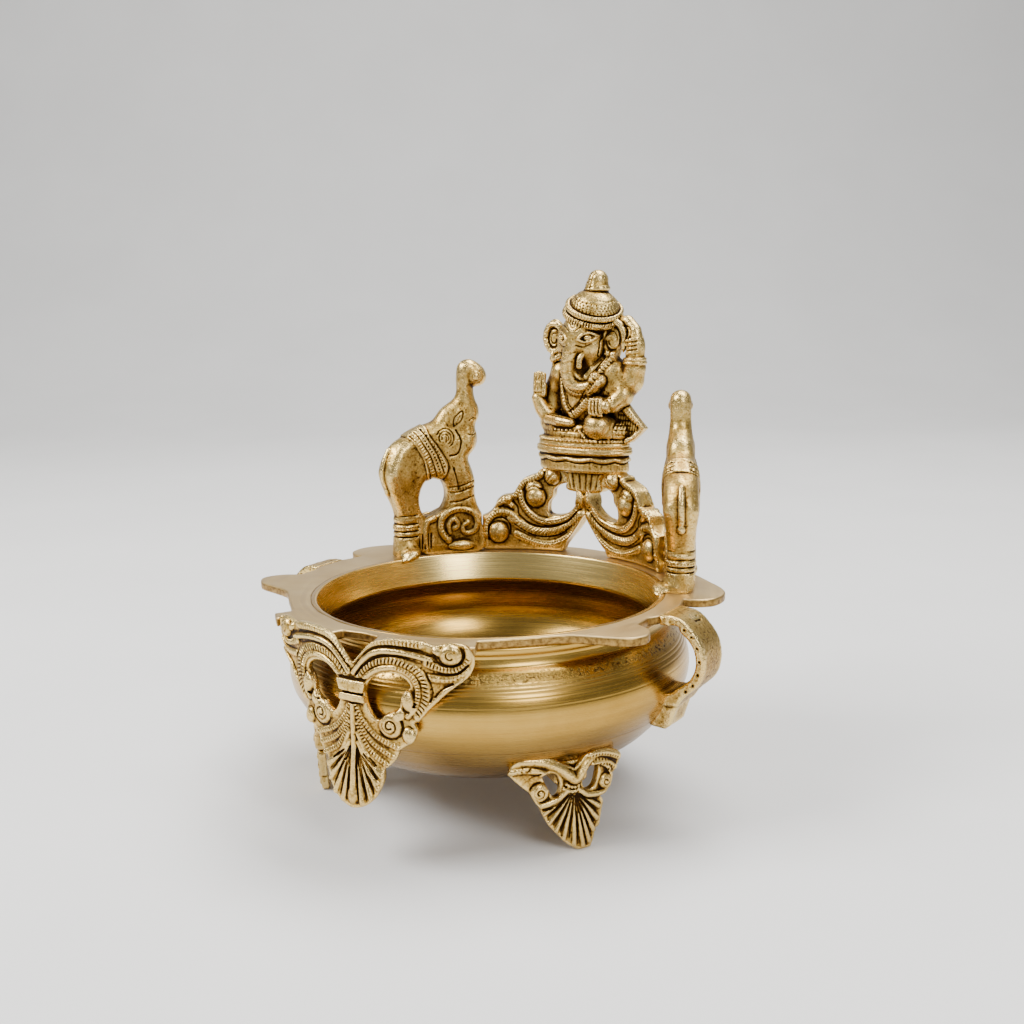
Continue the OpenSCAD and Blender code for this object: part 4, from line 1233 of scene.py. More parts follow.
def cast_elephant():
    """The clay of an elephant that stands to the left and faces right, with its trunk raised."""
    clay = Clay((-98, -12.5, -3.5), (-44.5, 8.4, 89.5), 0.36)
    outline = spline(ELEPHANT, closed=True)
    gap = spline(ELEPHANT_GAP, closed=True)
    clay.add(puffed(outline, ELEPHANT_HALF, 4.2, holes=(gap,)))
    clay.add(egg((-86.4, 0, 41.5), (9.2, 6.4, 12.6), -14), 1.6)
    clay.add(egg((-76, 0, 46), (11, 6.8, 9.8), 14), 1.6)
    clay.add(egg((-66, 0, 49), (7.6, 6.4, 11.5), 10), 1.6)
    clay.add(tube([(-85.6, 0, 36), (-84.6, 0, 26), (-84.8, 0, 19)], [6.4, 5.2, 4.9]), 1.2)
    clay.add(tube([(-62.5, 0, 44), (-58.4, 0, 36), (-57.6, 0, 28), (-58, 0, 22)],
                  [6.0, 5.6, 5.2, 5.2]), 1.2)
    clay.add(egg((-58.6, 0, 61.5), (7.6, 5.9, 9.4), -28), 1.4)
    clay.add(egg((-53.6, 0, 51.5), (3.4, 4.2, 5.6), -10), 1.0)
    clay.add(egg((-52.2, 0, 64.8), (2.8, 3.8, 4.4), 0), 0.8)
    clay.add(tube([(-55.6, 0, 67), (-55.2, 0, 74), (-55.3, 0, 80), (-54.6, 0, 84.2)],
                  [4.9, 3.9, 3.7, 3.9]), 0.9)
    clay.add(egg((-50.4, 0, 80.8), (5.0, 5.2, 4.8)), 0.8)
    for low, high, out in ((15.2, 18.4, 6.0), (11.6, 15.0, 6.4), (9.4, 11.8, 6.1)):
        clay.add(ellipse_column(out, out - 0.2, low, high, 1.5, (-84.8, 0)), 0.25)
    tail = spline([(-92.6, 0, 49), (-95.6, 0, 43), (-95.9, 0, 37), (-93.6, 0, 31.6)])
    clay.add(tube(tail, 1.3), 0.3)
    clay.add(egg((-93.2, 0, 31.4), (2.0, 1.9, 3.4), -14), 0.3)
    blanket = [(-86, 58), (-81.6, 50.8), (-77.6, 43.6), (-74.6, 33), (-68.4, 34.6), (-65.4, 41),
               (-70, 49), (-74.6, 55.4), (-77, 62)]
    clay.swell(spline(blanket, closed=True), 0.75)
    clay.add(tube([(-84.8, 0, 12), (-85, -0.6, 6), (-85.2, -1.6, 2.4)], [5.2, 5.6, 6.2]), 0.8)
    clay.add(egg((-86.4, -6.8, 1.4), (5.0, 4.6, 2.6), 8), 1.2)
    clay.add(egg((-88.6, -8.6, 0.2), (4.2, 2.6, 1.7), 14), 0.8)
    for face in (-1, 1):
        clay.add(egg((-86.2, face * 1.4, 38.6), (7.0, 5.5, 10.2), -12), 1.4)
        clay.add(egg((-64.4, face * 1.4, 46.6), (5.8, 5.3, 8.2), 12), 1.2)
        clay.add(egg((-66, face * 4.6, 53), (6.0, 2.3, 6.2), 10), 0.5)
        clay.add(egg((-59.6, face * 4.2, 61.8), (2.6, 1.5, 4.4), -38), 0.35)
        scroll = spline([(-77, 3), (-77.6, 9), (-76.4, 15), (-73, 16.6)])
        ridge(clay, scroll, face * 4.4, 1.8)
        block = [(-78, 0.5), (-49.2, 0.5), (-49.6, 15), (-53, 21), (-60, 22.4), (-68, 20),
                 (-74, 16.6), (-78, 12)]
        low_y, high_y = sorted((0, face * 5.2))
        clay.add(plate(spline(block, closed=True), low_y, high_y, edge=1.0), 0.5)
        whorl = spline([(-65.6, 6), (-69, 10), (-69, 15.4), (-65, 19.4), (-59, 20.4), (-53.4, 18.6),
                        (-51, 14.4), (-52.8, 10), (-57.4, 9.2), (-58.4, 12.2), (-55.8, 14)])
        clay.add(tube(at_depth(whorl, face * 4.5), np.linspace(2.1, 1.5, len(whorl))), 0.2)
        curl = spline([(-65, 9.6), (-65.4, 13.4), (-62.6, 15.8), (-60.6, 13), (-62.8, 11.4)])
        clay.add(tube(at_depth(curl, face * 4.7), 1.4), 0.25)
        clay.add(egg((-59.4, face * 4.8, 3.4), (7.2, 2.6, 2.6)), 0.3)

        for curve in ([(-85, 57.4), (-80.6, 50), (-76.4, 42.6), (-74, 35)],
                      [(-82.2, 58.4), (-78.6, 52.4), (-74.2, 45.2), (-71, 36)],
                      [(-79.6, 60), (-75.4, 53.6), (-70.6, 46), (-67.4, 37.4)]):
            groove(clay, curve, 0.5, face=face)
        rungs(clay, [(-83.8, 57.6), (-79.6, 51.2), (-75.4, 44), (-72.6, 36.4)], 1.4, 1.25, 0.38, face=face)
        pits(clay, [(-80.8, 58.6), (-77, 52.8), (-72.4, 45.6), (-69.2, 37.4)], 1.5, 0.6, face=face)
        pits(clay, [(-78.2, 58.4), (-73.8, 52.4), (-69.4, 45.6), (-67, 40)], 1.5, 0.5, face=face)
        for radius, reach in ((4.4, 0.6), (3.1, 0.75), (1.8, 0.7)):
            groove(clay, spiral((-66.4, 53.6), radius, reach, 300, inner=1.0), 0.38, face=face)
        for radius, curve in ((0.4, [(-66, 51.6), (-65.9, 53), (-65.8, 54.6)]),
                              (0.5, [(-60.8, 57), (-58.4, 52), (-60.2, 46.4), (-64.4, 45.4)]),
                              (0.42, [(-61.8, 58.6), (-61.4, 62.4), (-57.2, 65.6), (-57.8, 61.6),
                                      (-61.8, 58.6)]),
                              (0.36, [(-60.6, 60), (-59.6, 61.8), (-58.6, 63.4)]),
                              (0.45, [(-53.8, 61), (-52, 62.2), (-50.4, 61.8)]),
                              (0.45, [(-54.8, 55), (-52.4, 54.4), (-50.8, 55)]),
                              (0.45, [(-62.6, 39.6), (-61, 34.6), (-60, 29.4)])):
            groove(clay, curve, radius, face=face)
        for z in (31.4, 28.8, 24.4):
            groove(clay, [(-64.6, z - 0.6), (-60, z - 0.4), (-52.4, z + 1.8)], 0.45, face=face)
        rungs(clay, [(-63.8, 29.8), (-59, 29.8), (-53.4, 31.2)], 1.3, 0.8, 0.34, face=face)
        for k in range(5):
            x = -80.6 + 1.5 * k
            line(clay, np.array([(x, 9.8), (x - 0.3, 3)]), face * (5.7 - 0.1 * k), 0.42)
        pits(clay, [(-65.2, 7.6), (-69, 11), (-68.6, 15.6), (-65, 19), (-59, 20), (-53.6, 18)],
             1.5, 0.5, face=face)
        groove(clay, spiral((-49.8, 80.8), 2.9, 1.2 * face, 60, inner=0.5), 0.34, face=face)
    for z in (19.0, 15.1, 11.7, 9.2):
        clay.cut(tube(ring_points(6.1, 5.9, z, 40) + np.array([-84.8, 0, 0]), 0.45), 0.15)
    for p in ring_points(6.5, 6.3, 13.3, 26)[:-1]:
        clay.cut(ball(p + np.array([-84.8, 0, 0]), 0.55), 0.1)
    for k in range(6):
        x, y, z = tail[int((0.25 + 0.12 * k) * (len(tail) - 1))]
        clay.cut(tube([(x - 1.4, -1.2, z), (x - 1.4, 1.2, z + 0.5)], 0.3), 0.1)
    clay.keep(lambda x, y, z: np.where(CREST_R + y > MOUTH_R + 0.5, -z, -3.0 - z) + 0 * x)
    return clay


# ---- crest: scrolls ----------------------------------------------------------------------

CREST_S = 3.0                       # arc length where the two scrolls meet
FIGURE_S = 1.0                      # arc length of the middle of the seated figure
SCROLL = [(-48.3, 0.2, None), (-48.3, 16, None), (-45, 17.4), (-42.6, 20), (-41, 23.4), (-38, 25.6),
          (-33.4, 26.2, None), (-31.4, 29.6), (-29, 33), (-25, 35), (-21.4, 36, None), (-20, 38),
          (-15, 39), (-9, 38.4), (-6.4, 36), (-5.8, 33.6, None), (-1.4, 31), (2.9, 28, None),
          (2.9, 18.4, None), (0.6, 15), (-3, 10), (-6.6, 5.4), (-8.6, 1.6, None), (-9.4, 0.2, None)]
SCROLL_GAP = [(-16.2, 18.4), (-16, 22.6), (-13.8, 25.8), (-13.2, 29), (-9.8, 31.4), (-5.2, 32.4),
              (-1.4, 31), (-0.6, 27), (-2.2, 22.6), (-6, 18.8), (-10.4, 17.2), (-14.4, 17)]


SCROLL_ROPE = [(-32.6, 25.8), (-30.4, 29.6), (-27.6, 32.2), (-23, 34), (-19.8, 36)]
SCROLL_FRAME = [(-30, 27.4), (-28.4, 21.6), (-24.4, 16.8), (-19, 14.2), (-13, 14.4), (-6.8, 16.2),
                (-2.2, 19.8)]
# Raised strips: the curve, half the width and the height.
SCROLL_BANDS = ((SCROLL_ROPE, 1.9, 1.1),
                (SCROLL_FRAME + [(1, 25)], 1.7, 1.2),
                ([(-34.6, 14.6), (-30, 12), (-25, 9.8), (-18.6, 9), (-11.6, 10), (-5, 13.2), (0.4, 18)],
                 2.5, 1.2),
                ([(-32, 7.6), (-26, 5), (-20, 3.4), (-13.6, 3.6), (-8, 6), (-3.4, 10), (0.6, 15.2)],
                 1.9, 0.9),
                ([(-46.4, 7), (-46.4, 12.4), (-43.6, 16.4), (-39.4, 18), (-34.8, 17), (-31.4, 14)],
                 1.7, 1.1),
                ([(-42.4, 19.4), (-39.6, 22.6), (-36.6, 23), (-34.2, 21)], 1.4, 0.9))


def cast_scroll():
    """The clay of the scroll between the left elephant and the pedestal."""
    clay = Clay((-49, -7.6, -0.4), (3.6, 7.6, 41), 0.32)
    outline = spline(SCROLL, closed=True)
    gap = spline(SCROLL_GAP, closed=True)
    clay.add(puffed(outline, [(0, 3.2), (40, 3.0)], 1.4))
    for face in (-1, 1):
        skin = face * 3.0
        for curve, half_width, height in SCROLL_BANDS:
            band(clay, spline(curve), skin, half_width, height, face)
        clay.add(egg((-40.8, skin, 8.6), (5.0, 3.3, 5.0)), 0.3)
        clay.add(egg((-22.2, skin, 25.4), (4.9, 3.7, 4.8)), 0.3)
        clay.add(egg((-23.2, skin * 0.9, 29.4), (4.3, 2.8, 3.6)), 0.3)
        clay.add(egg((-13.6, skin, 35.2), (4.0, 3.6, 4.0)), 0.3)
        clay.add(egg((-0.6, skin * 0.9, 26.6), (3.4, 3.0, 5.8), 18), 0.3)
        clay.add(egg((-35.8, skin, 24), (2.0, 1.5, 1.8)), 0.25)
    clay.keep(puffed(outline, [(0, 7), (40, 7)], 1.0)[0])
    clay.cut(plate(gap, -9, 9, edge=0.1), 0.9)
    for face in (-1, 1):
        skin = face * 3.0
        rungs(clay, SCROLL_ROPE, 1.4, 1.5, 0.4, face=face)
        pits(clay, SCROLL_FRAME + [(0.6, 24)], 1.45, 0.6, face=face)
        rungs(clay, [(-31.6, 13.2), (-27, 10.6), (-18.6, 9), (-11.6, 10), (-5, 13.2), (-0.6, 17)],
              1.7, 1.9, 0.38, face=face, slant=0.8)
        pits(clay, [(-30, 7.4), (-25, 5.4), (-20, 4.2), (-13.6, 4.4), (-8, 6.8), (-3.4, 10.8)],
             1.35, 0.52, face=face)
        pits(clay, [(-29, 4.8), (-24, 3.2), (-19, 2.0), (-13.4, 2.2)], 1.35, 0.48, face=face)
        rungs(clay, [(-46.6, 8), (-46.2, 12.4), (-43.6, 16.4), (-39.4, 18), (-34.8, 17)],
              1.35, 1.3, 0.38, face=face)
        pits(clay, [(-42.4, 19.6), (-39.6, 22.6), (-36.6, 23), (-34.6, 21.4)], 1.4, 0.5, face=face)
        for curve in ([(-33, 12.4), (-28, 9.2), (-22, 7), (-15, 7), (-8.6, 9.2), (-3.6, 13)],
                      [(-30.6, 16.6), (-26, 13), (-20, 11.4), (-13, 12), (-6, 14.8), (-1, 19.4)],
                      [(-45.6, 5), (-45.4, 11), (-42.4, 14.8), (-38, 15), (-35.2, 12), (-35, 7.6)],
                      [(-43.6, 19.4), (-38.6, 20.6), (-33.4, 19)],
                      [(-33.4, 23), (-31.4, 20.4), (-31, 17.4)]):
            groove(clay, curve, 0.5, face=face)
        groove(clay, [(-25.6, 29.4), (-22.4, 30.6), (-19, 29)], 0.42, face=face)
        groove(clay, [(-15.6, 33.2), (-13.8, 35), (-12, 36.6)], 0.46, face=face)
        groove(clay, [(-2.2, 24), (-0.4, 27), (0.6, 30.4)], 0.42, face=face)
    return clay


# ---- crest: pedestal ---------------------------------------------------------------------

DRUM_Z = 38.5
SEAT_Z = 50.0
DRUM_A, DRUM_B = 24.0, 12.0


def ellipse_column(a, b, low, high, edge=0.8, centre=(0, 0)):
    """An upright cylinder with an oval plan."""
    def distance(x, y, z):
        px, py = (x - centre[0]) / a, (y - centre[1]) / b
        k = np.sqrt(px * px + py * py)
        slope = np.sqrt((px / a)**2 + (py / b)**2)
        flat = k * (k - 1) / np.maximum(slope, 1e-6)
        thick = np.abs(z - (low + high) / 2) - (high - low) / 2
        return rounded(flat, thick, edge)
    return (distance, np.array([centre[0] - a, centre[1] - b, low]),
            np.array([centre[0] + a, centre[1] + b, high]))


def ring_points(a, b, z, count=72, wave=0.0, waves=0):
    """A level oval at height z, or one that swings by wave, waves times."""
    turn = np.linspace(0, 2 * math.pi, count + 1)
    return np.stack([a * np.cos(turn), b * np.sin(turn), z + wave * np.abs(np.sin(waves * turn / 2))], 1)


def cast_pedestal():
    """The clay of the drum that the figure sits on, with the stem between the two scrolls."""
    clay = Clay((-25, -13, 28), (25, 13, SEAT_Z + 0.6), 0.36)
    a, b = DRUM_A, DRUM_B
    clay.add(ellipse_column(a - 1.6, b - 1.4, DRUM_Z, SEAT_Z - 2, 1.4))
    clay.add(ellipse_column(a, b, SEAT_Z - 3.4, SEAT_Z, 1.2), 0.5)
    stem = [(-6.4, 29.2), (10.4, 29.2), (10.8, 35), (13.6, DRUM_Z + 1), (-9.6, DRUM_Z + 1), (-6.8, 35)]
    clay.add(plate(spline(stem, closed=True), -4.6, 4.6, edge=1.6), 1.2)
    drape = ring_points(a - 1.7, b - 1.5, 45.2, 120, wave=-1.0, waves=11)
    clay.add(tube(drape, 0.95), 0.6)
    clay.cut(tube(drape - np.array([0, 0, 1.3]), 0.36), 0.2)
    clay.cut(tube(ring_points(a - 1.1, b - 0.9, SEAT_Z - 3.9), 0.45), 0.2)
    for k in range(30):
        t = 2 * math.pi * (k + 0.5) / 30 + 0.05 * math.sin(7.3 * k)
        x, y = (a - 1.3) * math.cos(t), (b - 1.1) * math.sin(t)
        clay.cut(tube([(x, y, 43.0), (x * 0.99, y * 0.99, 39.4)], [0.34, 0.2]), 0.3)
    clay.cut(tube(ring_points(a + 0.1, b + 0.1, SEAT_Z - 1.3), 0.34), 0.15)
    for x in (-6.4, -4.4, -1.4, 1.2, 3.6, 6.2):
        for face in (-1, 1):
            clay.cut(tube([(x + 2, face * 4.9, 29.6), (x * 1.3 + 2, face * 4.9, 37.6)], 0.5), 0.5)
    return clay


def crest_place(axis=None):
    """Bend a casting onto the crest ring, and put it on the other side of axis if there is one."""
    ring = on_ring(BOWL_X, CREST_R, 180)
    def place(points):
        out = points.copy()
        if axis is not None:
            out[:, 0] = 2 * axis - out[:, 0]
        return ring(out)
    return place


TURN_S = 87.0                       # where the right elephant stands square to the crest ring


def square_to_ring(s, along, y, z):
    """Points of a frame that isn't bent, square to the crest ring at arc length s."""
    angle = s / CREST_R
    out = CREST_R + y
    return np.stack([BOWL_X + out * math.sin(angle) + along * math.cos(angle),
                     out * math.cos(angle) - along * math.sin(angle), RIM_Z + z], 1)


def straight_place(squat):
    """The right elephant isn't bent, and it stands the other way round."""
    def place(points):
        return square_to_ring(TURN_S, -points[:, 0] - TURN_S, points[:, 1], points[:, 2] * squat)
    return place


def beyond_elephant():
    """The space behind the right elephant's inner face, in the right scroll's unbent frame."""
    def distance(x, y, z):
        return CREST_R - 6.2 - (CREST_R + y) * np.cos((TURN_S - 2 * CREST_S + x) / CREST_R) + 0 * z
    return distance, np.array([-60.0, -20, -5]), np.array([-39.5, 20, 60])


def seat_place(points):
    """The frame of the drum and the figure."""
    return square_to_ring(FIGURE_S, *points.T)


# ---- crest: the seated figure ------------------------------------------------------------

def wrap(centre, radii, z, rise=0.0, lean=0.0, count=72, out=0.0):
    """A ring round an ellipsoid, at height z, that rises by rise to the right and lean to the back."""
    cx, cy, cz = centre
    a, b, c = radii
    points = []
    for t in np.linspace(0, 2 * math.pi, count + 1):
        x, y = 0.0, 0.0
        for _ in range(5):
            level = z + rise * x + lean * y
            size = math.sqrt(max(1 - ((level - cz) / c)**2, 0.02))
            x, y = (a + out) * size * math.cos(t), (b + out) * size * math.sin(t)
        points.append((cx + x, cy + y, z + rise * x + lean * y))
    return np.array(points)


def cast_figure():
    """The clay of the seated Ganesha. He faces -y; his left hand side is +x."""
    clay = Clay((-27.4, -15.4, SEAT_Z - 1.6), (34.6, 12.2, 127.6), 0.35)

    for a, b, low, high, edge, melt in ((22.8, 11.4, SEAT_Z, 52.2, 0.8, 0),
                                        (21.8, 11.0, 51.4, 54.2, 1.1, 0.3),
                                        (20.2, 10.2, 53.2, 57.0, 1.3, 0.5),
                                        (17.8, 9.2, 55.4, 60.2, 2.4, 1.2)):
        clay.add(ellipse_column(a, b, low, high, edge), melt)

    # Body, shoulders and lap.
    for centre, radii, tilt, melt in (((2.6, -0.6, 73), (13.4, 7.6, 17), 0, 1.5),
                                      ((0.4, -3.0, 73), (9.4, 6.2, 12), 0, 2.0),
                                      ((-10.6, 0, 82.4), (5.6, 5.4, 5.6), 0, 1.5),
                                      ((-13, 3.4, 70), (7.4, 4.4, 13), 0, 1.2),
                                      ((15.4, -1.0, 81), (8.6, 7.0, 9.4), -10, 2.0),
                                      ((17.6, -2.0, 74.6), (7.4, 6.4, 7.6), 14, 2.0),
                                      ((11.6, -3.0, 58), (8.4, 6.6, 7), 0, 1.0),
                                      ((11.0, -5.8, 59.6), (6.9, 6.8, 6.6), 0, 0.4)):
        clay.add(egg(centre, radii, tilt), melt)
    clay.add(tube([(-17, -0.6, 59.5), (-11, -4.2, 58.8), (-3, -5.2, 58.4)], [4.8, 4.4, 3.6]), 0.9)
    clay.add(tube([(-14.8, -5.4, 61.4), (-8, -8.2, 61.3), (-1.6, -8.6, 60.8)], [2.5, 2.5, 2.1]), 0.4)
    clay.add(tube([(19.6, -1, 57.4), (15.6, -4.6, 56.6), (8, -6.4, 55.4)], [4.6, 3.8, 3.0]), 0.8)

    # His right arms, with the raised palm.
    clay.add(tube([(-11.4, 0.8, 82.4), (-16.4, 1.6, 74), (-16.6, 0, 63)], [5.0, 4.6, 4.6]), 1.0)
    clay.add(tube([(-15.2, -2, 60.8), (-19.2, -3.6, 66), (-21.0, -4.6, 70.6)], [4.5, 3.8, 3.1]), 0.8)
    clay.add(egg((-20.2, -4.8, 74.8), (3.3, 2.3, 5.8)), 0.5)
    for k in range(4):
        x = -22.2 + 1.56 * k
        tip = (x + 0.2, -5.1, 82.4 - 0.5 * abs(k - 1.3))
        clay.add(tube([(x, -5.6, 74.4), (x + 0.1, -5.4, 79), tip], 0.92), 0.12)
    clay.add(tube([(-17.4, -5.6, 72.6), (-17.0, -5.4, 76.8)], [1.3, 1.0]), 0.3)

    # His left arms: one raised with a flower, one with the sweets in his lap.
    clay.add(tube([(17.5, -1, 82), (22.6, -1, 77.6), (24.8, -1, 79.6)], [6.2, 5.6, 5.4]), 1.4)
    clay.add(tube([(24.8, -1, 79.6), (26.6, -1, 85), (26.6, -1, 90)], [5.2, 4.8, 4.2]), 1.0)
    clay.add(egg((27.0, -1, 95.6), (4.2, 3.4, 7.4), 10), 0.8)
    clay.add(tube([(18.6, 0.4, 105.0), (22.6, 0.2, 105.4), (26.4, -0.4, 101.4)], [2.4, 2.6, 2.8]), 1.0)
    for z, size in ((87.6, 4.7), (89.2, 4.5)):
        clay.add(tube(ring_points(size, 4.3, z, 28) + np.array([26.5, -1, 0]), 0.8), 0.3)
    for k in range(4):
        z = 92.0 + 1.75 * k
        clay.add(tube([(24.4, -4.2, z - 0.2), (26.6, -4.7, z + 0.3), (28.8, -3.4, z + 0.7)], 0.88), 0.25)

    clay.add(tube([(20.6, -1.4, 80), (22.4, -4.4, 73.4), (19.4, -7.2, 70), (16.4, -8.2, 69.4)],
                  [5.6, 4.8, 4.0, 3.5]), 1.0)
    clay.add(egg((13.0, -9.4, 69.2), (4.6, 2.8, 4.2)), 0.5)
    for k in range(4):
        x = 10.2 + 1.72 * k
        knuckle = (x, -11.4, 72.2 - 0.3 * abs(k - 1.5))
        clay.add(tube([knuckle, (x, -12.3, 69), (x + 0.1, -11.6, 65.4)], 0.98), 0.12)
    clay.add(egg((17.3, -10.0, 69.0), (2.6, 2.7, 3.1)), 0.3)

    cloth = [(19.4, 72.0), (23.0, 68.4), (27, 63.6), (31.4, 58.9, None), (28, 55.6),
             (24.4, 52.4, None), (14, 52.4), (12, 60), (14, 68)]
    clay.add(plate(spline(cloth, closed=True), -2.8, 3.2, edge=1.0), 0.8)
    clay.add(tube([(21.4, -2.6, 70.4), (25.6, -3, 65.0), (30.8, -2.2, 59.4)], [2.4, 1.9, 1.1]), 0.4)
    clay.add(tube([(30.2, -2.2, 58.4), (27.0, -2.8, 55.4), (23.6, -3, 53.2)], [1.1, 1.3, 1.4]), 0.4)

    # Head, ears and trunk.
    clay.add(egg((1.7, -2.2, 96.6), (10.4, 9.2, 11.6)), 1.0)
    clay.add(egg((1.7, -5.4, 102.4), (8.2, 6.2, 5.8)), 2.5)
    clay.add(tube([(1.7, -1, 91), (2.2, -1, 84)], [9, 10]), 2.0)
    for side in (-1, 1):
        clay.add(egg((1.7 + side * 5.0, -5.2, 95.0), (6.0, 5.8, 7.6)), 2.5)
    for centre, size, side in ((17.2, 6.4, 1), (-13.2, 5.4, -1)):
        clay.add(egg((centre, -0.8, 97.6), (size, 3.0, 8.6), side * -8), 0.5)
        lobe = spiral((centre, 97.8), size - 0.8, 1.05 * -side, 90 + side * 70, inner=0.9)
        lobe[:, 1] = 97.8 + (lobe[:, 1] - 97.8) * 1.4
        clay.add(tube(at_depth(lobe, -2.9), 1.45), 0.3)
        hollow = spiral((centre - side * 0.8, 96.6), 3.0, 1.1 * -side, 90 + side * 70, inner=0.6)
        clay.add(tube(at_depth(hollow, -3.0), 0.9), 0.2)
        drop = centre + side * 0.3
        for y, z, radius, melt in ((-2.6, 88.6, 2.2, 0.2), (-3.8, 90.6, 1.2, 0.15),
                                   (-2.6, 85.8, 1.2, 0.15)):
            clay.add(ball((drop, y, z), radius), melt)
    root = [(2.6, -7.2, 103.4), (2.2, -8.2, 100), (1.0, -9.0, 96)]
    clay.add(tube(root, [5.0, 5.0, 4.4]), 2.8)
    trunk = spline([(2.4, -8.0, 101.6), (1.0, -9.3, 96), (-0.8, -10, 90), (-1.8, -10, 84.4), (-0.8, -9.9, 79.8),
                    (3.2, -9.8, 77.0), (8.4, -9.6, 77.6), (12.2, -9.2, 80.6)])
    sizes = np.interp(np.arange(len(trunk)), np.linspace(0, len(trunk) - 1, 8),
                      (4.6, 4.3, 3.8, 3.4, 3.1, 2.7, 2.3, 2.0))
    clay.cut(egg((6.4, -12.2, 84.6), (4.8, 4.6, 5.4)), 0.9)
    clay.add(tube(trunk, sizes), 0.5)
    clay.add(tube(spline([(6.4, -9.4, 92.4), (4.6, -10.8, 89.6), (4.6, -11.4, 86.2)]), 1.3), 0.3)
    clay.add(tube([(-4.6, -8.0, 91), (-7.6, -10.4, 89.6)], [1.7, 1.3]), 0.4)

    # Turban.
    turban = ((5.8, -0.8, 109.0), (12.4, 10.8, 10.6))
    clay.add(egg(*turban), 0.5)
    clay.add(tube(wrap(turban[0], turban[1], 108.0, -0.30, 0.34), 1.8), 0.4)
    clay.add(tube(wrap(turban[0], turban[1], 112.0, -0.34, 0.38), 1.4), 0.3)
    clay.add(egg((7.6, -0.4, 119.6), (5.9, 5.4, 2.4)), 0.5)
    clay.add(tube([(7.4, -0.2, 120), (7.9, -0.2, 123)], [5.4, 4.6]), 0.5)

    # Sash, collar and scarf, laid on the body.
    shoulder = spline([(-8.2, 83.6), (-7.2, 78.6), (-5.4, 72.4), (-4.4, 68.1), (-1.8, 64.4)])
    sash = spline([(-1.2, 64.2), (3.0, 67.6), (6.6, 71.8), (10.6, 76.2), (13.8, 80)])
    for curve, size in ((shoulder, 2.0), (sash, 2.7)):
        clay.add(tube(draped(clay, curve, 0.68 * size), size), 0.3)
    collar = spline([(-5.6, 82.0), (-3.8, 77.2), (0.6, 74.4), (5.4, 74.0), (10.6, 76.2), (13.6, 79)])
    clay.add(tube(draped(clay, collar, 1.0), 1.8), 0.3)
    for curve, size in (([(6.2, 81.4), (10.4, 86.6), (14.6, 91.6)], 1.5),
                        ([(10.6, 80.4), (14.2, 85.6), (17.8, 90.8)], 2.2)):
        clay.add(tube(draped(clay, spline(curve), 0.5 * size), size), 0.3)

    gap = [(20.2, 88.4), (21.2, 90), (21.6, 93.4), (20.6, 95.6), (19.4, 93.4), (19.0, 90)]
    clay.cut(plate(spline(gap, closed=True), -14, 14, edge=0.1), 0.8)

    # Ornaments and lines.
    studs(clay, shoulder, 1.6, 0.8)
    rungs(clay, sash, 1.35, 1.9, 0.38)
    groove(clay, sash + np.array([-1.5, 1.5]), 0.4)
    studs(clay, collar, 1.5, 0.75)
    groove(clay, [(-3.4, 80.6), (-1.6, 76.4), (2.4, 74.8)], 0.4)
    groove(clay, [(-3.4, 73), (-2.6, 69), (-0.2, 66.6)], 0.42)
    groove(clay, [(-0.4, 66.4), (4.2, 70.6), (7.6, 74.6)], 0.42)
    rungs(clay, [(10.8, 80.6), (14.2, 85.6), (17.6, 90.4)], 1.45, 1.8, 0.4)
    groove(clay, [(6.4, 81.8), (10.4, 86.8), (14.4, 91.4)], 0.4)
    groove(clay, [(8.6, 80.4), (12.4, 85.6), (16.2, 90.8)], 0.45)
    for side in (-1, 1):
        def across(curve):
            return [(1.7 + side * p[0],) + p[1:] for p in curve]
        eye = spline(across([(2.8, 97.9, None), (4.8, 100.0), (7.2, 100.7), (10.2, 99.2, None),
                             (8.2, 97.4), (5.2, 96.7)]), closed=True)
        rim = draped(clay, eye, 0.1)
        middle = draped(clay, across([(6.5, 98.6)]))[0]
        clay.cut(egg(middle + (0, -0.7, 0), (3.3, 1.3, 1.7), side * 8), 0.2)
        clay.add(tube(np.concatenate([rim, rim[:1]]), 0.62), 0.12)
        clay.add(egg(middle + (0, 0.3, 0), (2.0, 1.0, 1.2), side * 8), 0.12)
        clay.cut(ball(middle + (0, -0.9, 0.1), 0.42), 0.1)
        groove(clay, across([(1.8, 101.6), (4.8, 103.6), (7.6, 103.8), (10.0, 102.2)]), 0.45)
        groove(clay, across([(2.0, 95.4), (5.0, 94.6), (8.4, 96.0)]), 0.36)
        groove(clay, across([(10.6, 100), (10.8, 95), (9.8, 90.4)]), 0.5)
    for centre, size, side in ((17.2, 6.4, 1), (-13.2, 5.4, -1)):
        for inner in (size - 1.9, size - 3.4):
            loop = spiral((centre - side * 0.4, 97.4), inner, 0.9 * -side, 90 + side * 60, inner=0.6)
            loop[:, 1] = 97.4 + (loop[:, 1] - 97.4) * 1.4
            groove(clay, loop, 0.42)
    for k in range(5):
        z = 92.6 + 2.4 * k
        groove(clay, [(-18.6, z), (-16.2, z + 0.4)], 0.34)
    groove(clay, spiral((2.5, 104.6), 2.3, 1.4, 90), 0.38)
    for k in range(6):
        i = int((0.24 + 0.11 * k) * (len(trunk) - 1))
        x, _, z = trunk[i]
        r = sizes[i]
        groove(clay, [(x - 0.8 * r, z + 0.3), (x, z - 0.3), (x + 0.8 * r, z + 0.3)], 0.28)
    for z, rise, lean, size in ((105.8, -0.28, 0.33, 0.42), (110.1, -0.32, 0.36, 0.5),
                                (114.0, -0.36, 0.4, 0.5), (117.0, -0.2, 0.3, 0.42)):
        clay.cut(tube(wrap(turban[0], turban[1], z, rise, lean, out=0.3), size), 0.15)
    for z, rise, lean, out, count in ((108.0, -0.30, 0.34, 1.7, 64), (112.0, -0.34, 0.38, 1.3, 58)):
        for p in wrap(turban[0], turban[1], z, rise, lean, count, out=out)[:-1]:
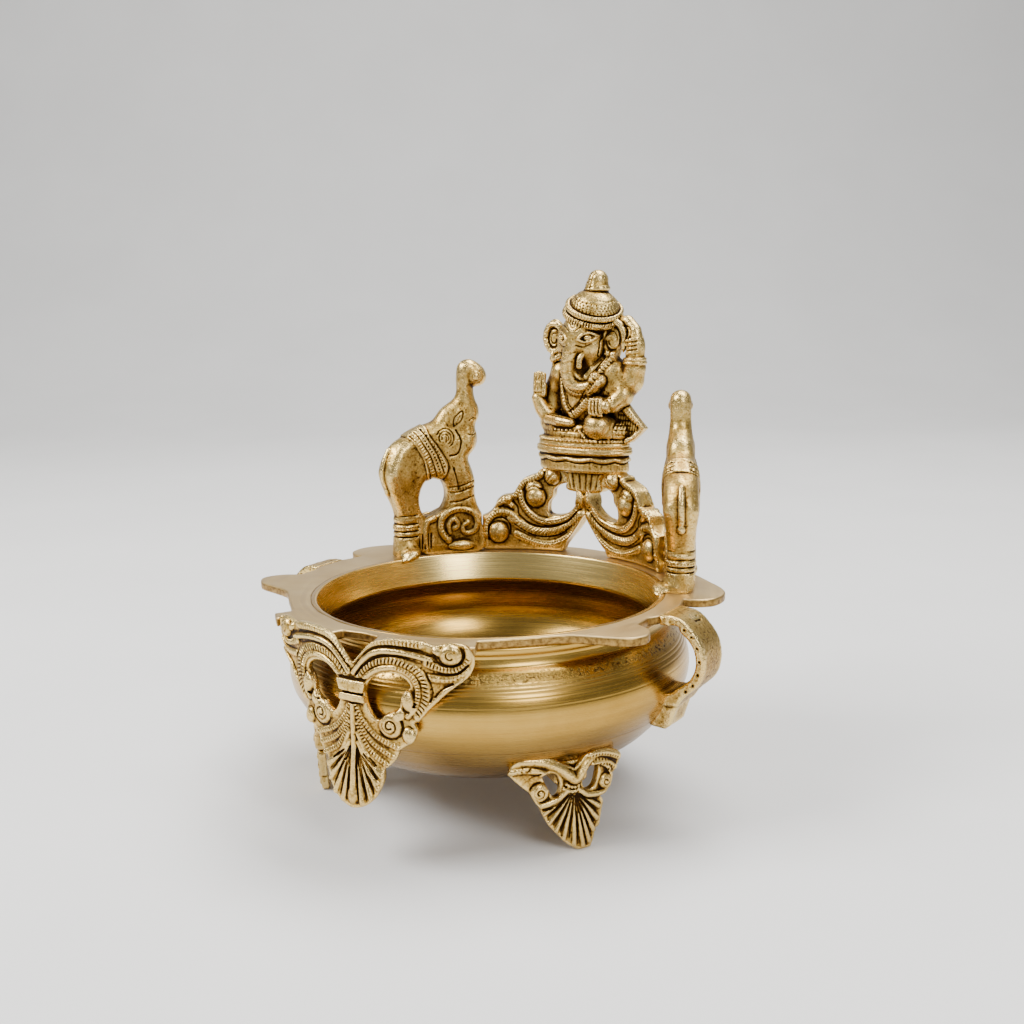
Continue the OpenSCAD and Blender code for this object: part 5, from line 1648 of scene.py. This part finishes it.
            clay.cut(tube([p + (0.4, 0, 1.2), p - (0.4, 0, 1.2)], 0.32), 0.1)
    for z, count in ((114.6, 46), (115.7, 42), (116.8, 38), (117.8, 32)):
        for p in wrap(turban[0], turban[1], z, -0.34, 0.38, count, out=0.15)[:-1]:
            clay.cut(ball(p, 0.5), 0.1)
    clay.cut(tube(ring_points(6.1, 5.6, 120.2, 40) + np.array([7.7, -0.3, 0]), 0.45), 0.2)
    for k in range(5):
        z = 120.9 + 1.25 * k
        groove(clay, [(2.2 + 0.3 * k, z - 0.2), (4.0 + 0.25 * k, z), (6.0 + 0.2 * k, z + 0.2)], 0.36)
    groove(clay, [(6.6, 119.8), (7.2, 123), (8.0, 126.6)], 0.42)
    for k in range(3):
        x = -21.4 + 1.56 * k
        groove(clay, [(x, 74.6), (x + 0.1, 81.6)], 0.34)
    groove(clay, [(-23.0, 74.0), (-20.0, 73.4), (-17.4, 73.8)], 0.34)
    for k in range(3):
        groove(clay, [(11.05 + 1.72 * k, 71.6), (11.05 + 1.72 * k, 65.8)], 0.38)
    groove(clay, [(9.2, 65.2), (13, 64.6), (16.6, 65.8)], 0.34)
    for k in range(3):
        z = 92.9 + 1.75 * k
        groove(clay, [(24.0, z - 0.1), (26.6, z + 0.3), (29.0, z + 0.8)], 0.34)
    groove(clay, [(21.8, 103.4), (24.6, 103), (25.8, 100.2), (24.4, 96.4), (23.6, 92.6)], 0.42)
    groove(clay, [(23.4, 101.4), (24.0, 99.6), (22.8, 96.6)], 0.38)
    for k in range(9):
        groove(clay, [(18.4 + 1.2 * k, 54.4 + 0.3 * k), (19.4 + 1.2 * k, 66.0 - 0.7 * k)], 0.36)
    for k in range(5):
        groove(clay, [(18.6, 56.0 + 2.2 * k), (27.4 - 0.9 * k, 55.4 + 2.3 * k)], 0.36)
    rungs(clay, [(21.6, 69.4), (25.6, 64.8), (30.0, 59.8)], 1.5, 1.6, 0.34)
    pits(clay, [(13.6, 76.6), (17.4, 74.6), (20.6, 71.4)], 1.3, 0.42)
    pits(clay, [(14.0, 74.4), (17.2, 72.6), (19.4, 70)], 1.3, 0.42)
    studs(clay, [(2.6, 58.6), (4.6, 55.4), (8, 53.6), (11.5, 53.2)], 1.5, 0.75)
    for a, b, z, count, size in ((22.0, 11.2, 53.0, 62, 0.75), (19.6, 9.9, 57.4, 54, 0.6)):
        for p in ring_points(a, b, z, count)[:-1]:
            clay.add(ball(p, size), 0.1)
    for p in ring_points(20.6, 10.5, 55.4, 46)[:-1]:
        clay.cut(tube([p + (0.2, 0, 1.0), p - (0.2, 0, 0.9)], 0.42), 0.12)
    for z, a, b in ((51.6, 23.0, 11.6), (54.3, 21.6, 10.8)):
        clay.cut(tube(ring_points(a, b, z), 0.42), 0.12)
    for p in ring_points(23.0, 11.6, 50.5, 76)[:-1]:
        clay.cut(ball(p, 0.45), 0.1)
    for z in (66.2, 64.4):
        clay.cut(tube(ring_points(5.0, 4.9, z, 28) + np.array([-16.5, 0.2, 0]), 0.36), 0.1)
    groove(clay, [(-15.2, 63.8), (-8.4, 63.6), (-2, 62.8)], 0.34)
    back = [(-8, 88), (-3, 84.6), (4, 83.6), (12, 85.2), (17, 89)]
    groove(clay, back, 0.5, face=1)
    studs(clay, [(x, z - 1.7) for x, z in back], 1.8, 0.8, face=1)
    for x in (-7, -3.5, 0, 3.5, 7, 10.5):
        groove(clay, [(x * 0.6, 80), (x, 70), (x * 1.2, 60)], 0.42, face=1)
    return clay


# ---- everything in its place -------------------------------------------------------------

aim_camera()
build_stage()

CAST = cast_brass("cast_brass")
TURNED = turned_brass("turned_brass")
RIM = rim_brass("rim_brass")


def fit(piece, node, material):
    """Hang a finished piece on the body, in place of its plain CAD node."""
    piece.data.materials.append(material)
    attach(piece, "root")
    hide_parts(node)


def cast(node, clay, place, rough=0.05, shade=0.0):
    """Fire the clay of a casting, and hang it in place of its node. shade is painted shade
    for the whole casting when below 0, and painted light when above 0.
    """
    fit(fired(node + "_cast", clay, place, rough, shade), node, CAST)


fit(lathe_bowl(), "bowl_shell", TURNED)
fit(cut_rim(), "rim_plate", RIM)
# Painted shade: the panel, the feet and the handles are darkened all over by their shade.
cast("front_panel", front_panel(), panel_place, 0.06, -0.11)
foot = cast_foot()
for name, direction in (("right", FOOT_DEG), ("left", FOOT_DEG - 120), ("back", FOOT_DEG + 120)):
    cast("foot_" + name, foot, foot_place(direction), 0.06, -0.12)
cast("handle_right", *cast_handle(BOWL_X, 1), 0.10, -0.08)
cast("handle_left", *cast_handle(-BOWL_X, -1), 0.10, -0.08)

RIGHT_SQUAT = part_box("elephant_right")[1].z - RIM_Z * MM
RIGHT_SQUAT /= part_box("elephant_left")[1].z - RIM_Z * MM
elephant = cast_elephant()
cast("elephant_left", elephant, crest_place())
cast("elephant_right", elephant, straight_place(RIGHT_SQUAT))
scroll = cast_scroll()
# Painted light: the scrolls are lightened all over by their shade.
cast("scroll_left", scroll, crest_place(), shade=0.07)
scroll.cut(beyond_elephant())
cast("scroll_right", scroll, crest_place(CREST_S), shade=0.07)
cast("pedestal", cast_pedestal(), seat_place)
cast("ganesha", cast_figure(), seat_place)

for node_name, node_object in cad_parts.items():
    material = TURNED if node_name == "bowl_shell" else RIM if node_name == "rim_plate" else CAST
    node_object.data.materials.clear()
    node_object.data.materials.append(material)
